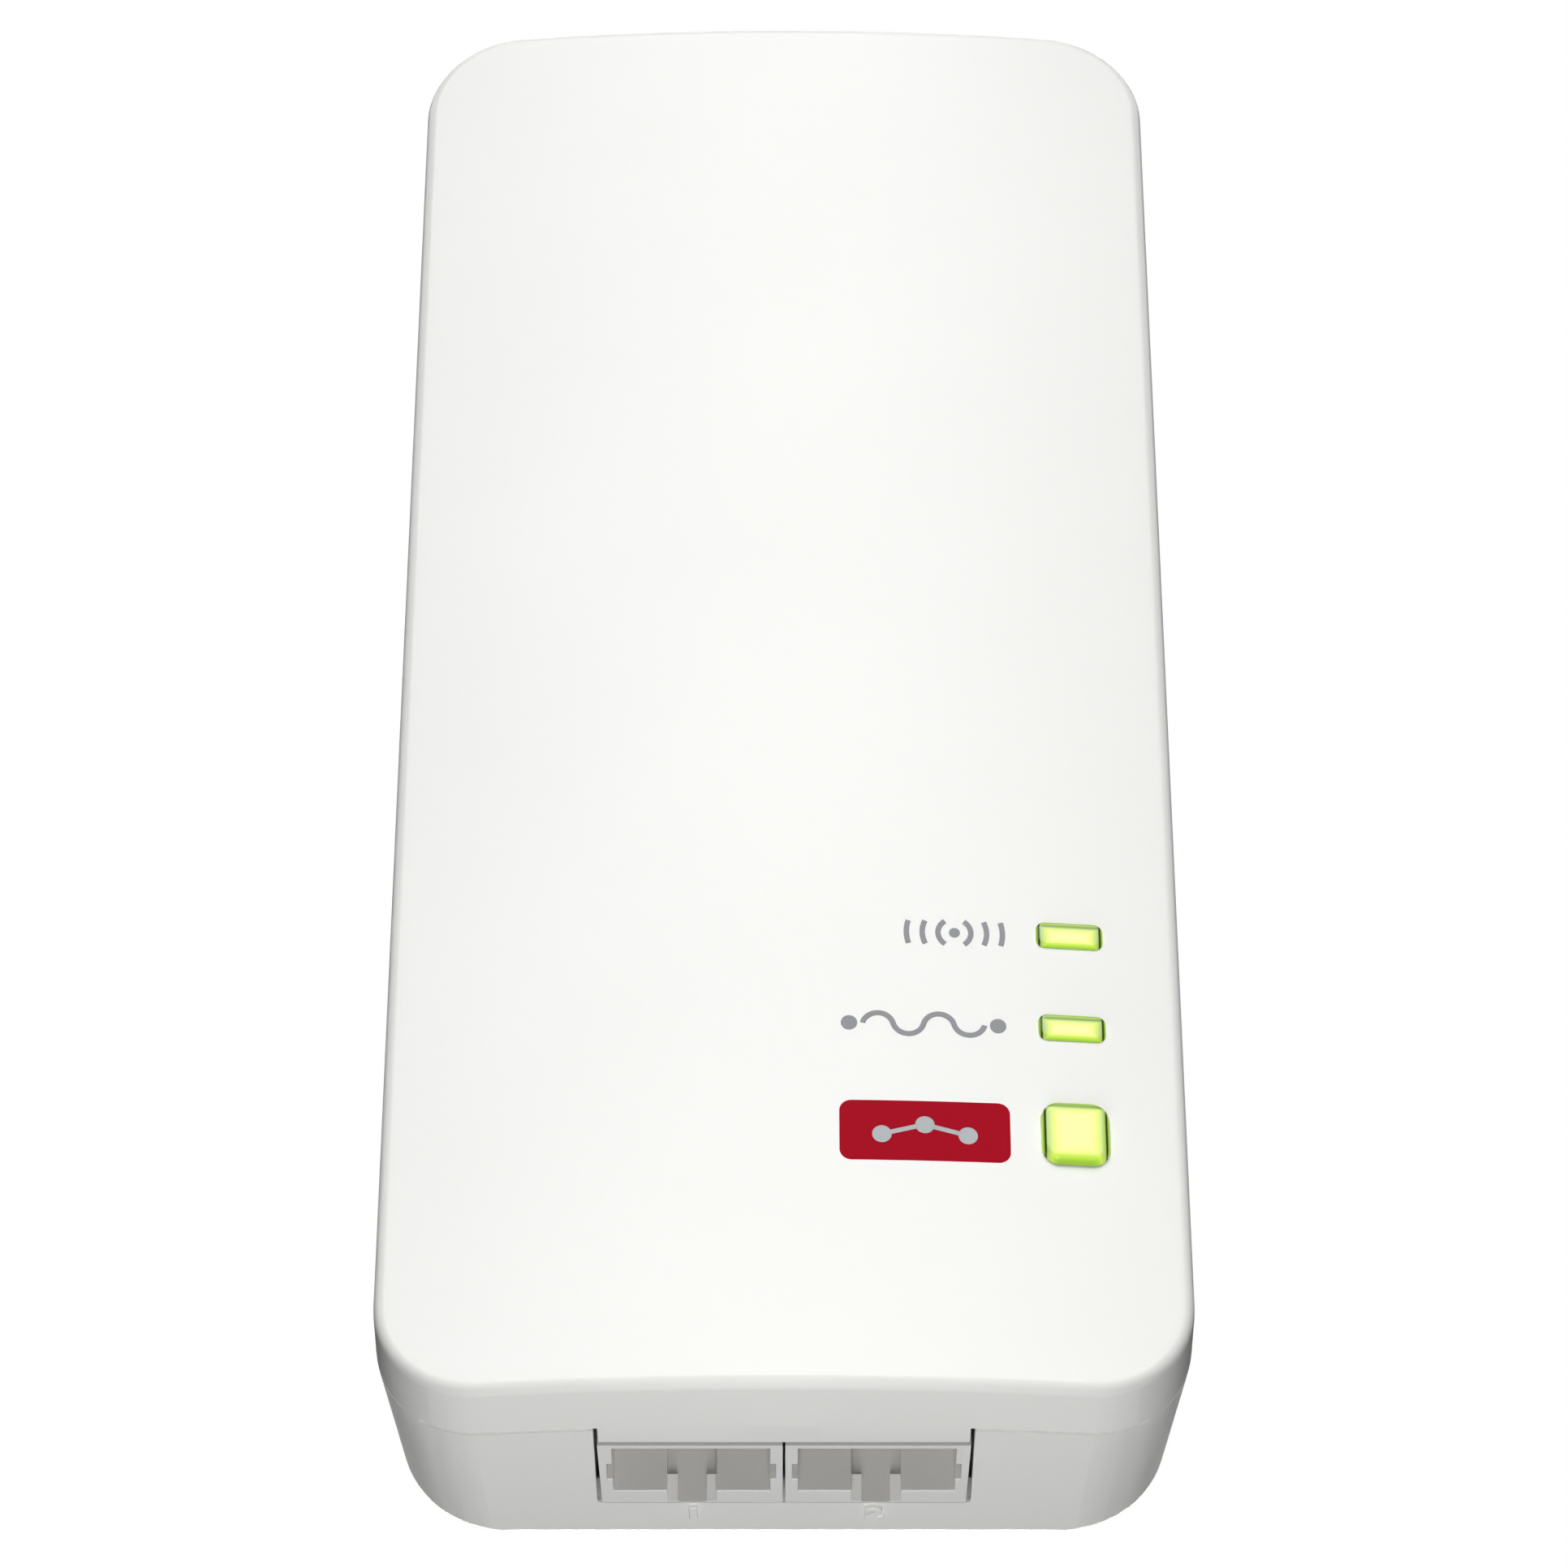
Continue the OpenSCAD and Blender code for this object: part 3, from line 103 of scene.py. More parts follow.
@dataclass(frozen=True)
class Housing:
    """Driving sizes of the housing, shared by every piece that follows its form.

    Attributes:
        crown_radius: Radius of the crown across the front.
        corner_radius: Radius of the four corners, seen from the front.
        cover_depth: Depth of the cover from its crest to the parting line.
        seam: Width of the groove at the parting line.
        wall: Wall thickness of both shells.
        low, high: Corners of the cover's box, which give the outline.
        rear_y: Place of the rear face.
    """

    crown_radius: float = 215.0
    corner_radius: float = 8.0
    cover_depth: float = 6.2
    seam: float = 0.25
    wall: float = 2.0
    low: Vector = field(default_factory=lambda: box_mm("front_cover")[0])
    high: Vector = field(default_factory=lambda: box_mm("front_cover")[1])
    rear_y: float = field(default_factory=lambda: box_mm("rear_housing")[1].y)

    @property
    def crest_y(self) -> float:
        """Gives the place of the crest, the foremost line of the front."""
        return self.low.y

    @property
    def parting_y(self) -> float:
        """Gives the place of the parting line in the middle of the housing."""
        return self.crest_y + self.cover_depth

    @property
    def half_width(self) -> float:
        """Gives half the width at the parting line."""
        return (self.high.x - self.low.x) / 2

    @property
    def length(self) -> float:
        """Gives the length at the parting line."""
        return self.high.z - self.low.z

    def middle(self, y: float) -> Vector:
        """Gives the middle of the outline at a depth y."""
        return Vector(((self.low.x + self.high.x) / 2, y, (self.low.z + self.high.z) / 2))

    def crown(self, x: float) -> float:
        """Tells how far the front has dropped at a distance x from the centre line."""
        return self.crown_radius - math.sqrt(self.crown_radius**2 - x * x)


# ---- Modelling ----


def clear_selection() -> None:
    """Leaves edit mode and deselects everything, the CAD nodes included."""
    if bpy.context.object and bpy.context.object.mode != "OBJECT":
        bpy.ops.object.mode_set(mode="OBJECT")
    bpy.ops.object.select_all(action="DESELECT")


def spread(low: float, high: float, count: int) -> list[float]:
    """Gives evenly spaced places strictly between two ends."""
    return [low + (high - low) * (i + 1) / (count + 1) for i in range(count)]


class Workpiece:
    """One mesh under the tool, from its primitive to the finished piece.

    Used in a with statement, it is in edit mode with nothing selected.

    Attributes:
        columns_per_mm: How finely vertices are sorted into columns for the crown.
    """

    columns_per_mm: int = 200

    def __init__(self, name: str) -> None:
        """Takes the primitive that was just added as this piece."""
        self.obj = bpy.context.object
        self.obj.name = self.obj.data.name = name
        bpy.ops.object.transform_apply(location=True, rotation=True, scale=True)

    @classmethod
    def block(cls, name: str, low: Place, high: Place) -> "Workpiece":
        """Starts from a box between two corners.

        Args:
            name: Name of the piece.
            low: Its lowest corner.
            high: Its highest corner.

        Returns:
            The new piece.
        """
        clear_selection()
        low, high = Vector(low) * MM, Vector(high) * MM
        bpy.ops.mesh.primitive_cube_add(size=1, location=(low + high) / 2, scale=high - low)
        return cls(name)

    @classmethod
    def sheet(cls, name: str, centre: Place, width: float, length: float,
              back: bool = False) -> "Workpiece":
        """Starts from one face across Y.

        Args:
            name: Name of the piece.
            centre: Its middle.
            width: Its size along X.
            length: Its size along Z.
            back: True when it faces the wall, +Y.

        Returns:
            The new piece.
        """
        clear_selection()
        turn = -math.pi / 2 if back else math.pi / 2
        bpy.ops.mesh.primitive_plane_add(size=1, location=Vector(centre) * MM, rotation=(turn, 0, 0))
        bpy.context.object.scale = (width * MM, length * MM, 1)
        return cls(name)

    @classmethod
    def rod(cls, name: str, start: Place, end: Place, radius: float, sides: int = 64) -> "Workpiece":
        """Starts from a cylinder between two points.

        Args:
            name: Name of the piece.
            start: Middle of its first end.
            end: Middle of its other end.
            radius: Its radius.
            sides: How many flats it has.

        Returns:
            The new piece.
        """
        clear_selection()
        start, end = Vector(start) * MM, Vector(end) * MM
        way = end - start
        turn = Vector((0, 0, 1)).rotation_difference(way).to_euler()
        bpy.ops.mesh.primitive_cylinder_add(vertices=sides, radius=radius * MM, depth=way.length,
                                            location=(start + end) / 2, rotation=turn)
        return cls(name)

    def take(self) -> None:
        """Makes this the one object that is selected and active."""
        clear_selection()
        self.obj.select_set(True)
        bpy.context.view_layer.objects.active = self.obj

    def __enter__(self) -> "Workpiece":
        """Goes into edit mode with nothing selected."""
        self.take()
        bpy.ops.object.mode_set(mode="EDIT")
        bpy.ops.mesh.select_mode(type="VERT")
        bpy.ops.mesh.select_all(action="DESELECT")
        return self

    def __exit__(self, *_: object) -> None:
        """Goes back to object mode."""
        bpy.ops.object.mode_set(mode="OBJECT")

    def pick(self, kind: str, test: Callable[..., bool] = lambda item: True) -> None:
        """Selects what passes a test.

        Args:
            kind: "verts", "edges" or "faces".
            test: Gets the element, and says whether it is wanted.
        """
        bpy.ops.mesh.select_mode(type=kind[:-1].upper())
        bpy.ops.mesh.select_all(action="DESELECT")
        mesh = bmesh.from_edit_mesh(self.obj.data)
        for item in [item for item in getattr(mesh, kind) if test(item)]:
            item.select_set(True)
        mesh.select_flush_mode()
        bmesh.update_edit_mesh(self.obj.data)

    def pick_end(self, way: int) -> None:
        """Selects the faces that look along Y, to the rear for 1 and to the front for -1."""
        self.pick("faces", lambda f: f.normal.y * way > UPRIGHT)

    def round_corners(self, radius: float, segments: int = 16) -> None:
        """Rounds the corners of a sheet and leaves its face picked."""
        bpy.ops.mesh.select_all(action="SELECT")
        bpy.ops.mesh.bevel(offset=radius * MM, segments=segments, affect="VERTICES", clamp_overlap=False)
        self.pick("faces")

    def step(self, inward: float, forward: float = 0.0) -> None:
        """Insets the selected cap and moves it along its normal."""
        bpy.ops.mesh.inset(thickness=inward * MM, depth=forward * MM, use_even_offset=True)

    def fillet(self, radius: float, segments: int) -> None:
        """Rounds the cap's edge by insets along a quarter circle."""
        turns = [math.radians(90 * i / segments) for i in range(segments + 1)]
        for a, b in zip(turns, turns[1:]):
            self.step(radius * (math.cos(a) - math.cos(b)), radius * (math.sin(b) - math.sin(a)))

    def push(self, x: float = 0.0, y: float = 0.0, z: float = 0.0) -> None:
        """Moves what is selected."""
        bpy.ops.transform.translate(value=(x * MM, y * MM, z * MM))

    def extrude(self, y: float) -> None:
        """Extrudes what is selected along Y."""
        bpy.ops.mesh.extrude_region_move(TRANSFORM_OT_translate={"value": (0, y * MM, 0)})

    def face_outwards(self) -> None:
        """Turns all faces outwards."""
        bpy.ops.mesh.select_all(action="SELECT")
        bpy.ops.mesh.normals_make_consistent(inside=False)

    def close(self) -> None:
        """Closes the open border with one face."""
        self.pick("edges", lambda e: e.is_boundary)
        bpy.ops.mesh.edge_face_add()
        self.face_outwards()

    def slice(self, axis: int, places: Iterable[float]) -> None:
        """Cuts the mesh across one axis at each place, so that it can follow a curve."""
        normal = [float(axis == i) for i in range(3)]
        for place in places:
            bpy.ops.mesh.select_all(action="SELECT")
            bpy.ops.mesh.bisect(plane_co=[place * MM * n for n in normal], plane_no=normal)

    def follow_crown(self, housing: Housing, behind: float = 1e6) -> None:
        """Moves each column of vertices back, so that the piece follows the crowned front.

        Args:
            housing: Gives the crown.
            behind: Vertices further back than this place stay.
        """
        columns: dict[int, list[int]] = {}
        mesh = bmesh.from_edit_mesh(self.obj.data)
        for v in mesh.verts:
            if v.co.y / MM < behind:
                column = round(abs(v.co.x) / MM * self.columns_per_mm)
                columns.setdefault(column, []).append(v.index)
        bpy.ops.mesh.select_mode(type="VERT")
        for column, members in columns.items():
            bpy.ops.mesh.select_all(action="DESELECT")
            mesh = bmesh.from_edit_mesh(self.obj.data)
            mesh.verts.ensure_lookup_table()
            for i in members:
                mesh.verts[i].select_set(True)
            self.push(y=housing.crown(column / self.columns_per_mm))

    def modify(self, kind: str, **settings: object) -> "Workpiece":
        """Adds a modifier, sets it and applies it.

        Args:
            kind: Blender's name of the modifier.
            settings: Its properties.

        Returns:
            This piece.
        """
        self.take()
        tool = self.obj.modifiers.new(kind.lower(), kind)
        for key, value in settings.items():
            setattr(tool, key, value)
        bpy.ops.object.modifier_apply(modifier=tool.name)
        return self

    def cut(self, *cutters: "Workpiece", add: bool = False) -> "Workpiece":
        """Takes the cutters out of this piece, or joins them to it, and removes them."""
        way = "UNION" if add else "DIFFERENCE"
        for cutter in cutters:
            self.modify("BOOLEAN", operation=way, solver="EXACT", object=cutter.obj)
            bpy.data.objects.remove(cutter.obj)
        return self

    def soften(self, width: float, segments: int = 2, angle: float = 35.0) -> "Workpiece":
        """Rounds every edge that is sharper than an angle, in degrees."""
        return self.modify("BEVEL", width=width * MM, segments=segments, limit_method="ANGLE",
                           angle_limit=math.radians(angle), use_clamp_overlap=True)

    def smooth(self, angle: float = 32.0, large_faces: int = 60) -> "Workpiece":
        """Shades smoothly, with large faces keeping their own normals."""
        self.take()
        bpy.ops.object.shade_smooth_by_angle(angle=math.radians(angle))
        return self.modify("WEIGHTED_NORMAL", keep_sharp=True, weight=large_faces)

    def join(self, *others: "Workpiece") -> "Workpiece":
        """Makes the others part of this mesh."""
        self.take()
        for other in others:
            other.obj.select_set(True)
        bpy.ops.object.join()
        return self

    def copy(self, name: str, shift: Place) -> "Workpiece":
        """Gives a moved copy with its own mesh."""
        self.take()
        bpy.ops.object.duplicate()
        bpy.context.object.location = Vector(shift) * MM
        return Workpiece(name)


# ---- Materials ----


class Shades:
    """The nodes of one material, round a Principled shader."""

    def __init__(self, name: str) -> None:
        """Starts a material of that name."""
        self.material = bpy.data.materials.new(name)
        self.material.use_nodes = True
        self.nodes = self.material.node_tree.nodes
        self.links = self.material.node_tree.links
        self.nodes.clear()
        self.shader = self.add("BsdfPrincipled")
        self.add("OutputMaterial", {"Surface": self.shader.outputs["BSDF"]})

    def add(self, kind: str, inputs: dict[str | int, object] | None = None, **settings: object) -> Node:
        """Adds a node.

        Args:
            kind: Its type, without the leading ShaderNode.
            inputs: What each input is linked to or set to.
            settings: Its properties.

        Returns:
            The node.
        """
        node = self.nodes.new(f"ShaderNode{kind}")
        for key, value in settings.items():
            setattr(node, key, value)
        for key, value in (inputs or {}).items():
            self.feed(node.inputs[key], value)
        return node

    def feed(self, target: Socket, value: object) -> None:
        """Links an input to a socket, or sets its own value."""
        if isinstance(value, Socket):
            self.links.new(value, target)
        else:
            target.default_value = value

    def place(self, centre: Place = (0, 0, 0), scale: Place = (1, 1, 1)) -> Socket:
        """Gives Object coordinates, counted from a centre.

        Args:
            centre: Where the pattern's origin lies.
            scale: Factor along each axis, per metre.

        Returns:
            The vector socket.
        """
        where = self.add("TexCoord").outputs["Object"]
        shift = [-c * MM * s for c, s in zip(centre, scale)]
        return self.add("Mapping", {"Vector": where, "Location": shift, "Scale": scale}).outputs["Vector"]

    def noise(self, vector: Socket, scale: float, detail: float) -> Socket:
        """Gives a noise value over a vector."""
        inputs = {"Vector": vector, "Scale": scale, "Detail": detail}
        return self.add("TexNoise", inputs).outputs["Fac"]

    def ramp(self, value: Socket, stops: Sequence[tuple[float, Colour]]) -> Socket:
        """Turns a value into a colour.

        Args:
            value: The socket that gives the value.
            stops: Places on the ramp, each with its colour.

        Returns:
            The colour socket.
        """
        node = self.add("ValToRGB", {"Fac": value})
        elements = node.color_ramp.elements
        while len(elements) < len(stops):
            elements.new(0.5)
        for element, (place, colour) in zip(elements, stops):
            element.position = place
            element.color = (*colour, 1)
        return node.outputs["Color"]

    def maths(self, operation: str, a: Socket, b: Socket | float = 0.0) -> Socket:
        """Gives the result of a sum, a product or the like."""
        return self.add("Math", {0: a, 1: b}, operation=operation).outputs["Value"]

    def bump(self, height: Socket, depth: float) -> None:
        """Roughens the surface by a height of up to that depth."""
        inputs = {"Strength": 1.0, "Distance": depth * MM, "Height": height}
        self.set(Normal=self.add("Bump", inputs).outputs["Normal"])

    def set(self, **values: object) -> None:
        """Feeds the shader's own inputs, named with underscores for spaces."""
        for key, value in values.items():
            value = (*value, 1) if isinstance(value, tuple) else value
            self.feed(self.shader.inputs[key.replace("_", " ")], value)


def tint(*seen: float) -> Colour:
    """Turns a colour as it is seen, 0 to 255 a channel, into the shader's linear one."""
    parts = [c / 255 for c in seen]
    return tuple(c / 12.92 if c <= 0.04045 else ((c + 0.055) / 1.055) ** 2.4 for c in parts)


def shade(colour: Colour, factor: float) -> Colour:
    """Makes a colour darker or lighter."""
    return tuple(min(1.0, c * factor) for c in colour)


@dataclass(frozen=True)
class Plastic:
    """Moulded plastic: a faint spark-eroded grain under a satin skin.

    Attributes:
        name: Name of the finish.
        colour: Base colour.
        roughness: Roughness of the skin.
        grain: Size of the grain.
        depth: Depth of the grain.
        drift: How much the colour varies over the piece.
        sheen: Strength of the reflection, 0.5 for bare plastic.
    """

    name: str
    colour: Colour
    roughness: float = 0.42
    grain: float = 0.35
    depth: float = 0.004
    drift: float = 0.012
    sheen: float = 0.5

    def material(self) -> bpy.types.Material:
        """Builds the material."""
        s = Shades(self.name)
        where = s.place()
        dark, light = shade(self.colour, 1 - self.drift), shade(self.colour, 1 + self.drift)
        s.set(Base_Color=s.ramp(s.noise(where, 40, 2), [(0.3, dark), (0.7, light)]),
              Roughness=self.roughness, IOR=1.49, Specular_IOR_Level=self.sheen)
        s.bump(s.noise(where, 1 / (self.grain * MM), 4), self.depth)
        return s.material


@dataclass(frozen=True)
class LitGuide:
    """Clear green plastic with a lamp behind it: bright in the middle; its dark side walls and its rims are
    painted shade and painted light.

    Attributes:
        name: Name of the finish.
        centre: Middle of the lit face.
        half: Half its width and height.
        foot: How far the lower band of painted light spreads, 1 for a window.
        reach: Widest band of painted shade and light.
    """

    name: str
    centre: Place
    half: tuple[float, float]
    foot: float = 1.0
    reach: float = 1.6

    def band(self, s: Shades, depth: Socket, stops: Sequence[tuple[float, Colour]]) -> Socket:
        """Paints a band of shade and light along one edge, by the depth from it."""
        return s.ramp(s.maths("DIVIDE", depth, self.reach), [(at / self.reach, c) for at, c in stops])

    def material(self) -> bpy.types.Material:
        """Builds the material."""
        s = Shades(self.name)
        middle, glow, lime = tint(255, 255, 158), tint(252, 255, 142), tint(226, 251, 110)
        across = s.add("SeparateXYZ", {"Vector": s.place(self.centre, (1 / MM, 1 / MM, 1 / MM))})
        inward = s.maths("SUBTRACT", s.maths("ABSOLUTE", across.outputs["X"]), self.half[0])
        below_top = s.maths("SUBTRACT", across.outputs["Z"], self.half[1])
        # Painted shade: dark bands along the left and right edges stand for the side walls; painted shade
        # and light along the top and bottom rims, and the darkest of the three shows.
        colour = self.band(s, s.maths("MULTIPLY", inward, -1.0), [
            (0.0, tint(160, 195, 80)), (0.13, tint(136, 170, 60)), (0.2, tint(36, 52, 12)),
            (0.29, tint(40, 58, 14)), (0.36, tint(168, 198, 94)), (0.55, tint(188, 215, 124)),
            (0.85, lime), (1.2, glow), (1.55, middle)])
        top = self.band(s, s.maths("MULTIPLY", below_top, -1.0), [
            (0.0, tint(150, 184, 62)), (0.28, tint(162, 196, 74)), (0.4, tint(116, 146, 46)),
            (0.5, tint(128, 158, 56)), (0.62, tint(198, 224, 114)), (0.85, tint(238, 253, 126)),
            (1.15, middle)])
        bottom = self.band(s, s.maths("ADD", across.outputs["Z"], self.half[1]), [
            (0.0, tint(150, 196, 52)), (0.1 * self.foot, tint(190, 232, 76)), (0.3 * self.foot, lime),
            (0.5 * self.foot, glow), (0.75 * self.foot, middle)])
        for other in (top, bottom):
            darker = s.add("Mix", {0: 1.0, 6: colour, 7: other}, data_type="RGBA", blend_type="DARKEN")
            colour = darker.outputs[2]
        s.set(Emission_Color=colour, Emission_Strength=1.0, Base_Color=tint(30, 40, 10),
              Roughness=0.2, Specular_IOR_Level=0.25)
        s.bump(s.noise(s.place(), 1500, 2), 0.002)
        return s.material


@dataclass(frozen=True)
class Metal:
    """Drawn, rolled or plated metal with fine lines from its making.

    Attributes:
        name: Name of the finish.
        colour: Base colour.
        roughness: Lowest roughness between the lines.
        lines: Fineness of the lines along X, Y and Z, per metre.
        depth: Depth of the lines.
    """

    name: str
    colour: Colour
    roughness: float = 0.24
    lines: tuple[float, float, float] = (900, 90, 900)
    depth: float = 0.002

    def material(self) -> bpy.types.Material:
        """Builds the material."""
        s = Shades(self.name)
        streaks = s.noise(s.place(scale=self.lines), 3, 4)
        spots = s.noise(s.place(), 160, 3)
        rough = s.maths("ADD", s.maths("MULTIPLY", streaks, 0.16), self.roughness)
        s.set(Base_Color=s.ramp(spots, [(0.3, shade(self.colour, 0.92)), (0.7, shade(self.colour, 1.05))]),
              Roughness=rough, Metallic=1.0)
        s.bump(streaks, self.depth)
        return s.material


@dataclass(frozen=True)
class Banded:
    """Something wound, sleeved or cut in layers: two tones in regular bands.

    Attributes:
        name: Name of the finish.
        light: Colour of the bands.
        dark: Colour between them.
        pitch: Distance from band to band.
        axis: "X", "Y" or "Z", the way along which the bands follow each other.
        gloss: Roughness of the surface.
        metallic: 1 for bare metal.
    """

    name: str
    light: Colour
    dark: Colour
    pitch: float
    axis: str = "Z"
    gloss: float = 0.35
    metallic: float = 0.0

    def material(self) -> bpy.types.Material:
        """Builds the material."""
        s = Shades(self.name)
        inputs = {"Vector": s.place(), "Scale": math.pi / (10 * self.pitch * MM), "Distortion": 0.4}
        wave = s.add("TexWave", inputs, wave_type="BANDS", bands_direction=self.axis).outputs["Fac"]
        s.set(Base_Color=s.ramp(wave, [(0.25, self.dark), (0.6, self.light)]),
              Roughness=self.gloss, Metallic=self.metallic, IOR=1.49)
        s.bump(wave, self.pitch * 0.12)
        return s.material


@dataclass(frozen=True)
class Laminate:
    """Circuit board: solder mask over a faint grid of conductors.

    Attributes:
        name: Name of the finish.
        mask: Colour of the solder mask.
        over_copper: Its colour where copper lies under it.
    """

    name: str
    mask: Colour
    over_copper: Colour

    def material(self) -> bpy.types.Material:
        """Builds the material."""
        s = Shades(self.name)
        cells = s.add("TexVoronoi", {"Vector": s.place(), "Scale": 320}, distance="CHEBYCHEV", feature="F1")
        tracks = s.ramp(cells.outputs["Distance"], [(0.28, (1, 1, 1)), (0.34, (0, 0, 0))])
        s.set(Base_Color=s.ramp(tracks, [(0.2, self.mask), (0.8, self.over_copper)]),
              Roughness=0.28, IOR=1.5)
        s.bump(tracks, 0.02)
        return s.material


class Ink(Enum):
    """What is printed on the front."""

    GREY = tint(160, 161, 164)
    RED = tint(173, 11, 35)
    SILVER = tint(190, 194, 197)

    def finish(self) -> Plastic:
        """Gives the ink's finish, flatter than the plastic under it."""
        return Plastic(f"{self.name.lower()} ink", self.value, 0.8, 0.3, 0.002, sheen=0.08)


HOUSING_WHITE = Plastic("housing white", tint(246, 246, 243))
SOCKET_GREY = Plastic("socket grey", tint(235, 235, 233), roughness=0.38, grain=0.25)
CARRIER_GREY = Plastic("carrier grey", tint(226, 226, 223), roughness=0.5)
PIN_NICKEL = Metal("pin nickel", tint(208, 205, 196), 0.16, (900, 60, 900))
SCREW_ZINC = Metal("screw zinc", tint(190, 191, 196), 0.3)

INSIDE = {
    "contact_gold": Metal("contact gold", tint(226, 190, 112), 0.2, (900, 120, 900)),
    "board_green": Laminate("board green", tint(16, 84, 48), tint(34, 118, 70)),
    "chip_black": Plastic("chip black", tint(34, 34, 37), 0.5, 0.12, 0.006, 0.08),
    "spreader_metal": Metal("spreader aluminium", tint(214, 216, 220), 0.3, (900, 900, 60)),
    "tin_plate": Metal("tin plate", tint(205, 207, 210), 0.26, (60, 900, 900)),
    "screw_zinc": SCREW_ZINC,
    "led_clear": Plastic("lamp package", tint(236, 245, 200), 0.15, 0.5, 0.002, 0.05),
    "film_yellow": Plastic("film capacitor yellow", tint(222, 186, 62), 0.35, 0.6, 0.01, 0.05),
    "disc_blue": Plastic("disc capacitor blue", tint(36, 82, 160), 0.25, 1.2, 0.02, 0.08),
    "fuse_brown": Plastic("fuse brown", tint(84, 50, 32), 0.45, 0.3, 0.006, 0.08),
    "sleeve_navy": Banded("capacitor sleeve", tint(32, 42, 84), tint(24, 32, 68), 1.1, "Y", 0.25),
    "ferrite": Plastic("ferrite", tint(62, 63, 66), 0.6, 0.4, 0.02, 0.12),
    "copper_wire": Banded("enamelled copper", tint(206, 120, 66), tint(120, 56, 26), 0.55, "X", 0.25, 1.0),
    "tape_yellow": Banded("winding tape", tint(232, 214, 122), tint(208, 184, 88), 2.2, "Z", 0.3),
    "barrier_fibre": Plastic("barrier fibre", tint(226, 222, 208), 0.7, 0.5, 0.02, 0.05),
    "lead_sleeve": Plastic("lead sleeve", tint(28, 28, 30), 0.45, 0.4, 0.01, 0.1),
    "lead_brown": Banded("mains lead", tint(112, 66, 40), tint(96, 54, 32), 0.8, "X", 0.4),
}


def dress(obj: bpy.types.Object, material: bpy.types.Material) -> None:
    """Gives an object one material on all its faces."""
    obj.data.materials.clear()
    obj.data.materials.append(material)


def settle(piece: Workpiece, finish: Plastic | Metal | LitGuide, slot: str, *nodes: str,
           body: str = "housing") -> bpy.types.Object:
    """Dresses a finished piece, hangs it on its body's empty and hides the CAD nodes it stands for.

    Args:
        piece: The piece.
        finish: Its finish.
        slot: The record's material slot; not used.
        nodes: CAD nodes that it stands for.
        body: CAD body that it rides on.

    Returns:
        The piece's object.
    """
    clear_selection()
    dress(piece.obj, finish.material())
    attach(piece.obj, body)
    if nodes:
        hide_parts(*nodes)
    log.info("%s: %d faces, rides %s", piece.obj.name, len(piece.obj.data.polygons), body)
    return piece.obj


# ---- The picture ----


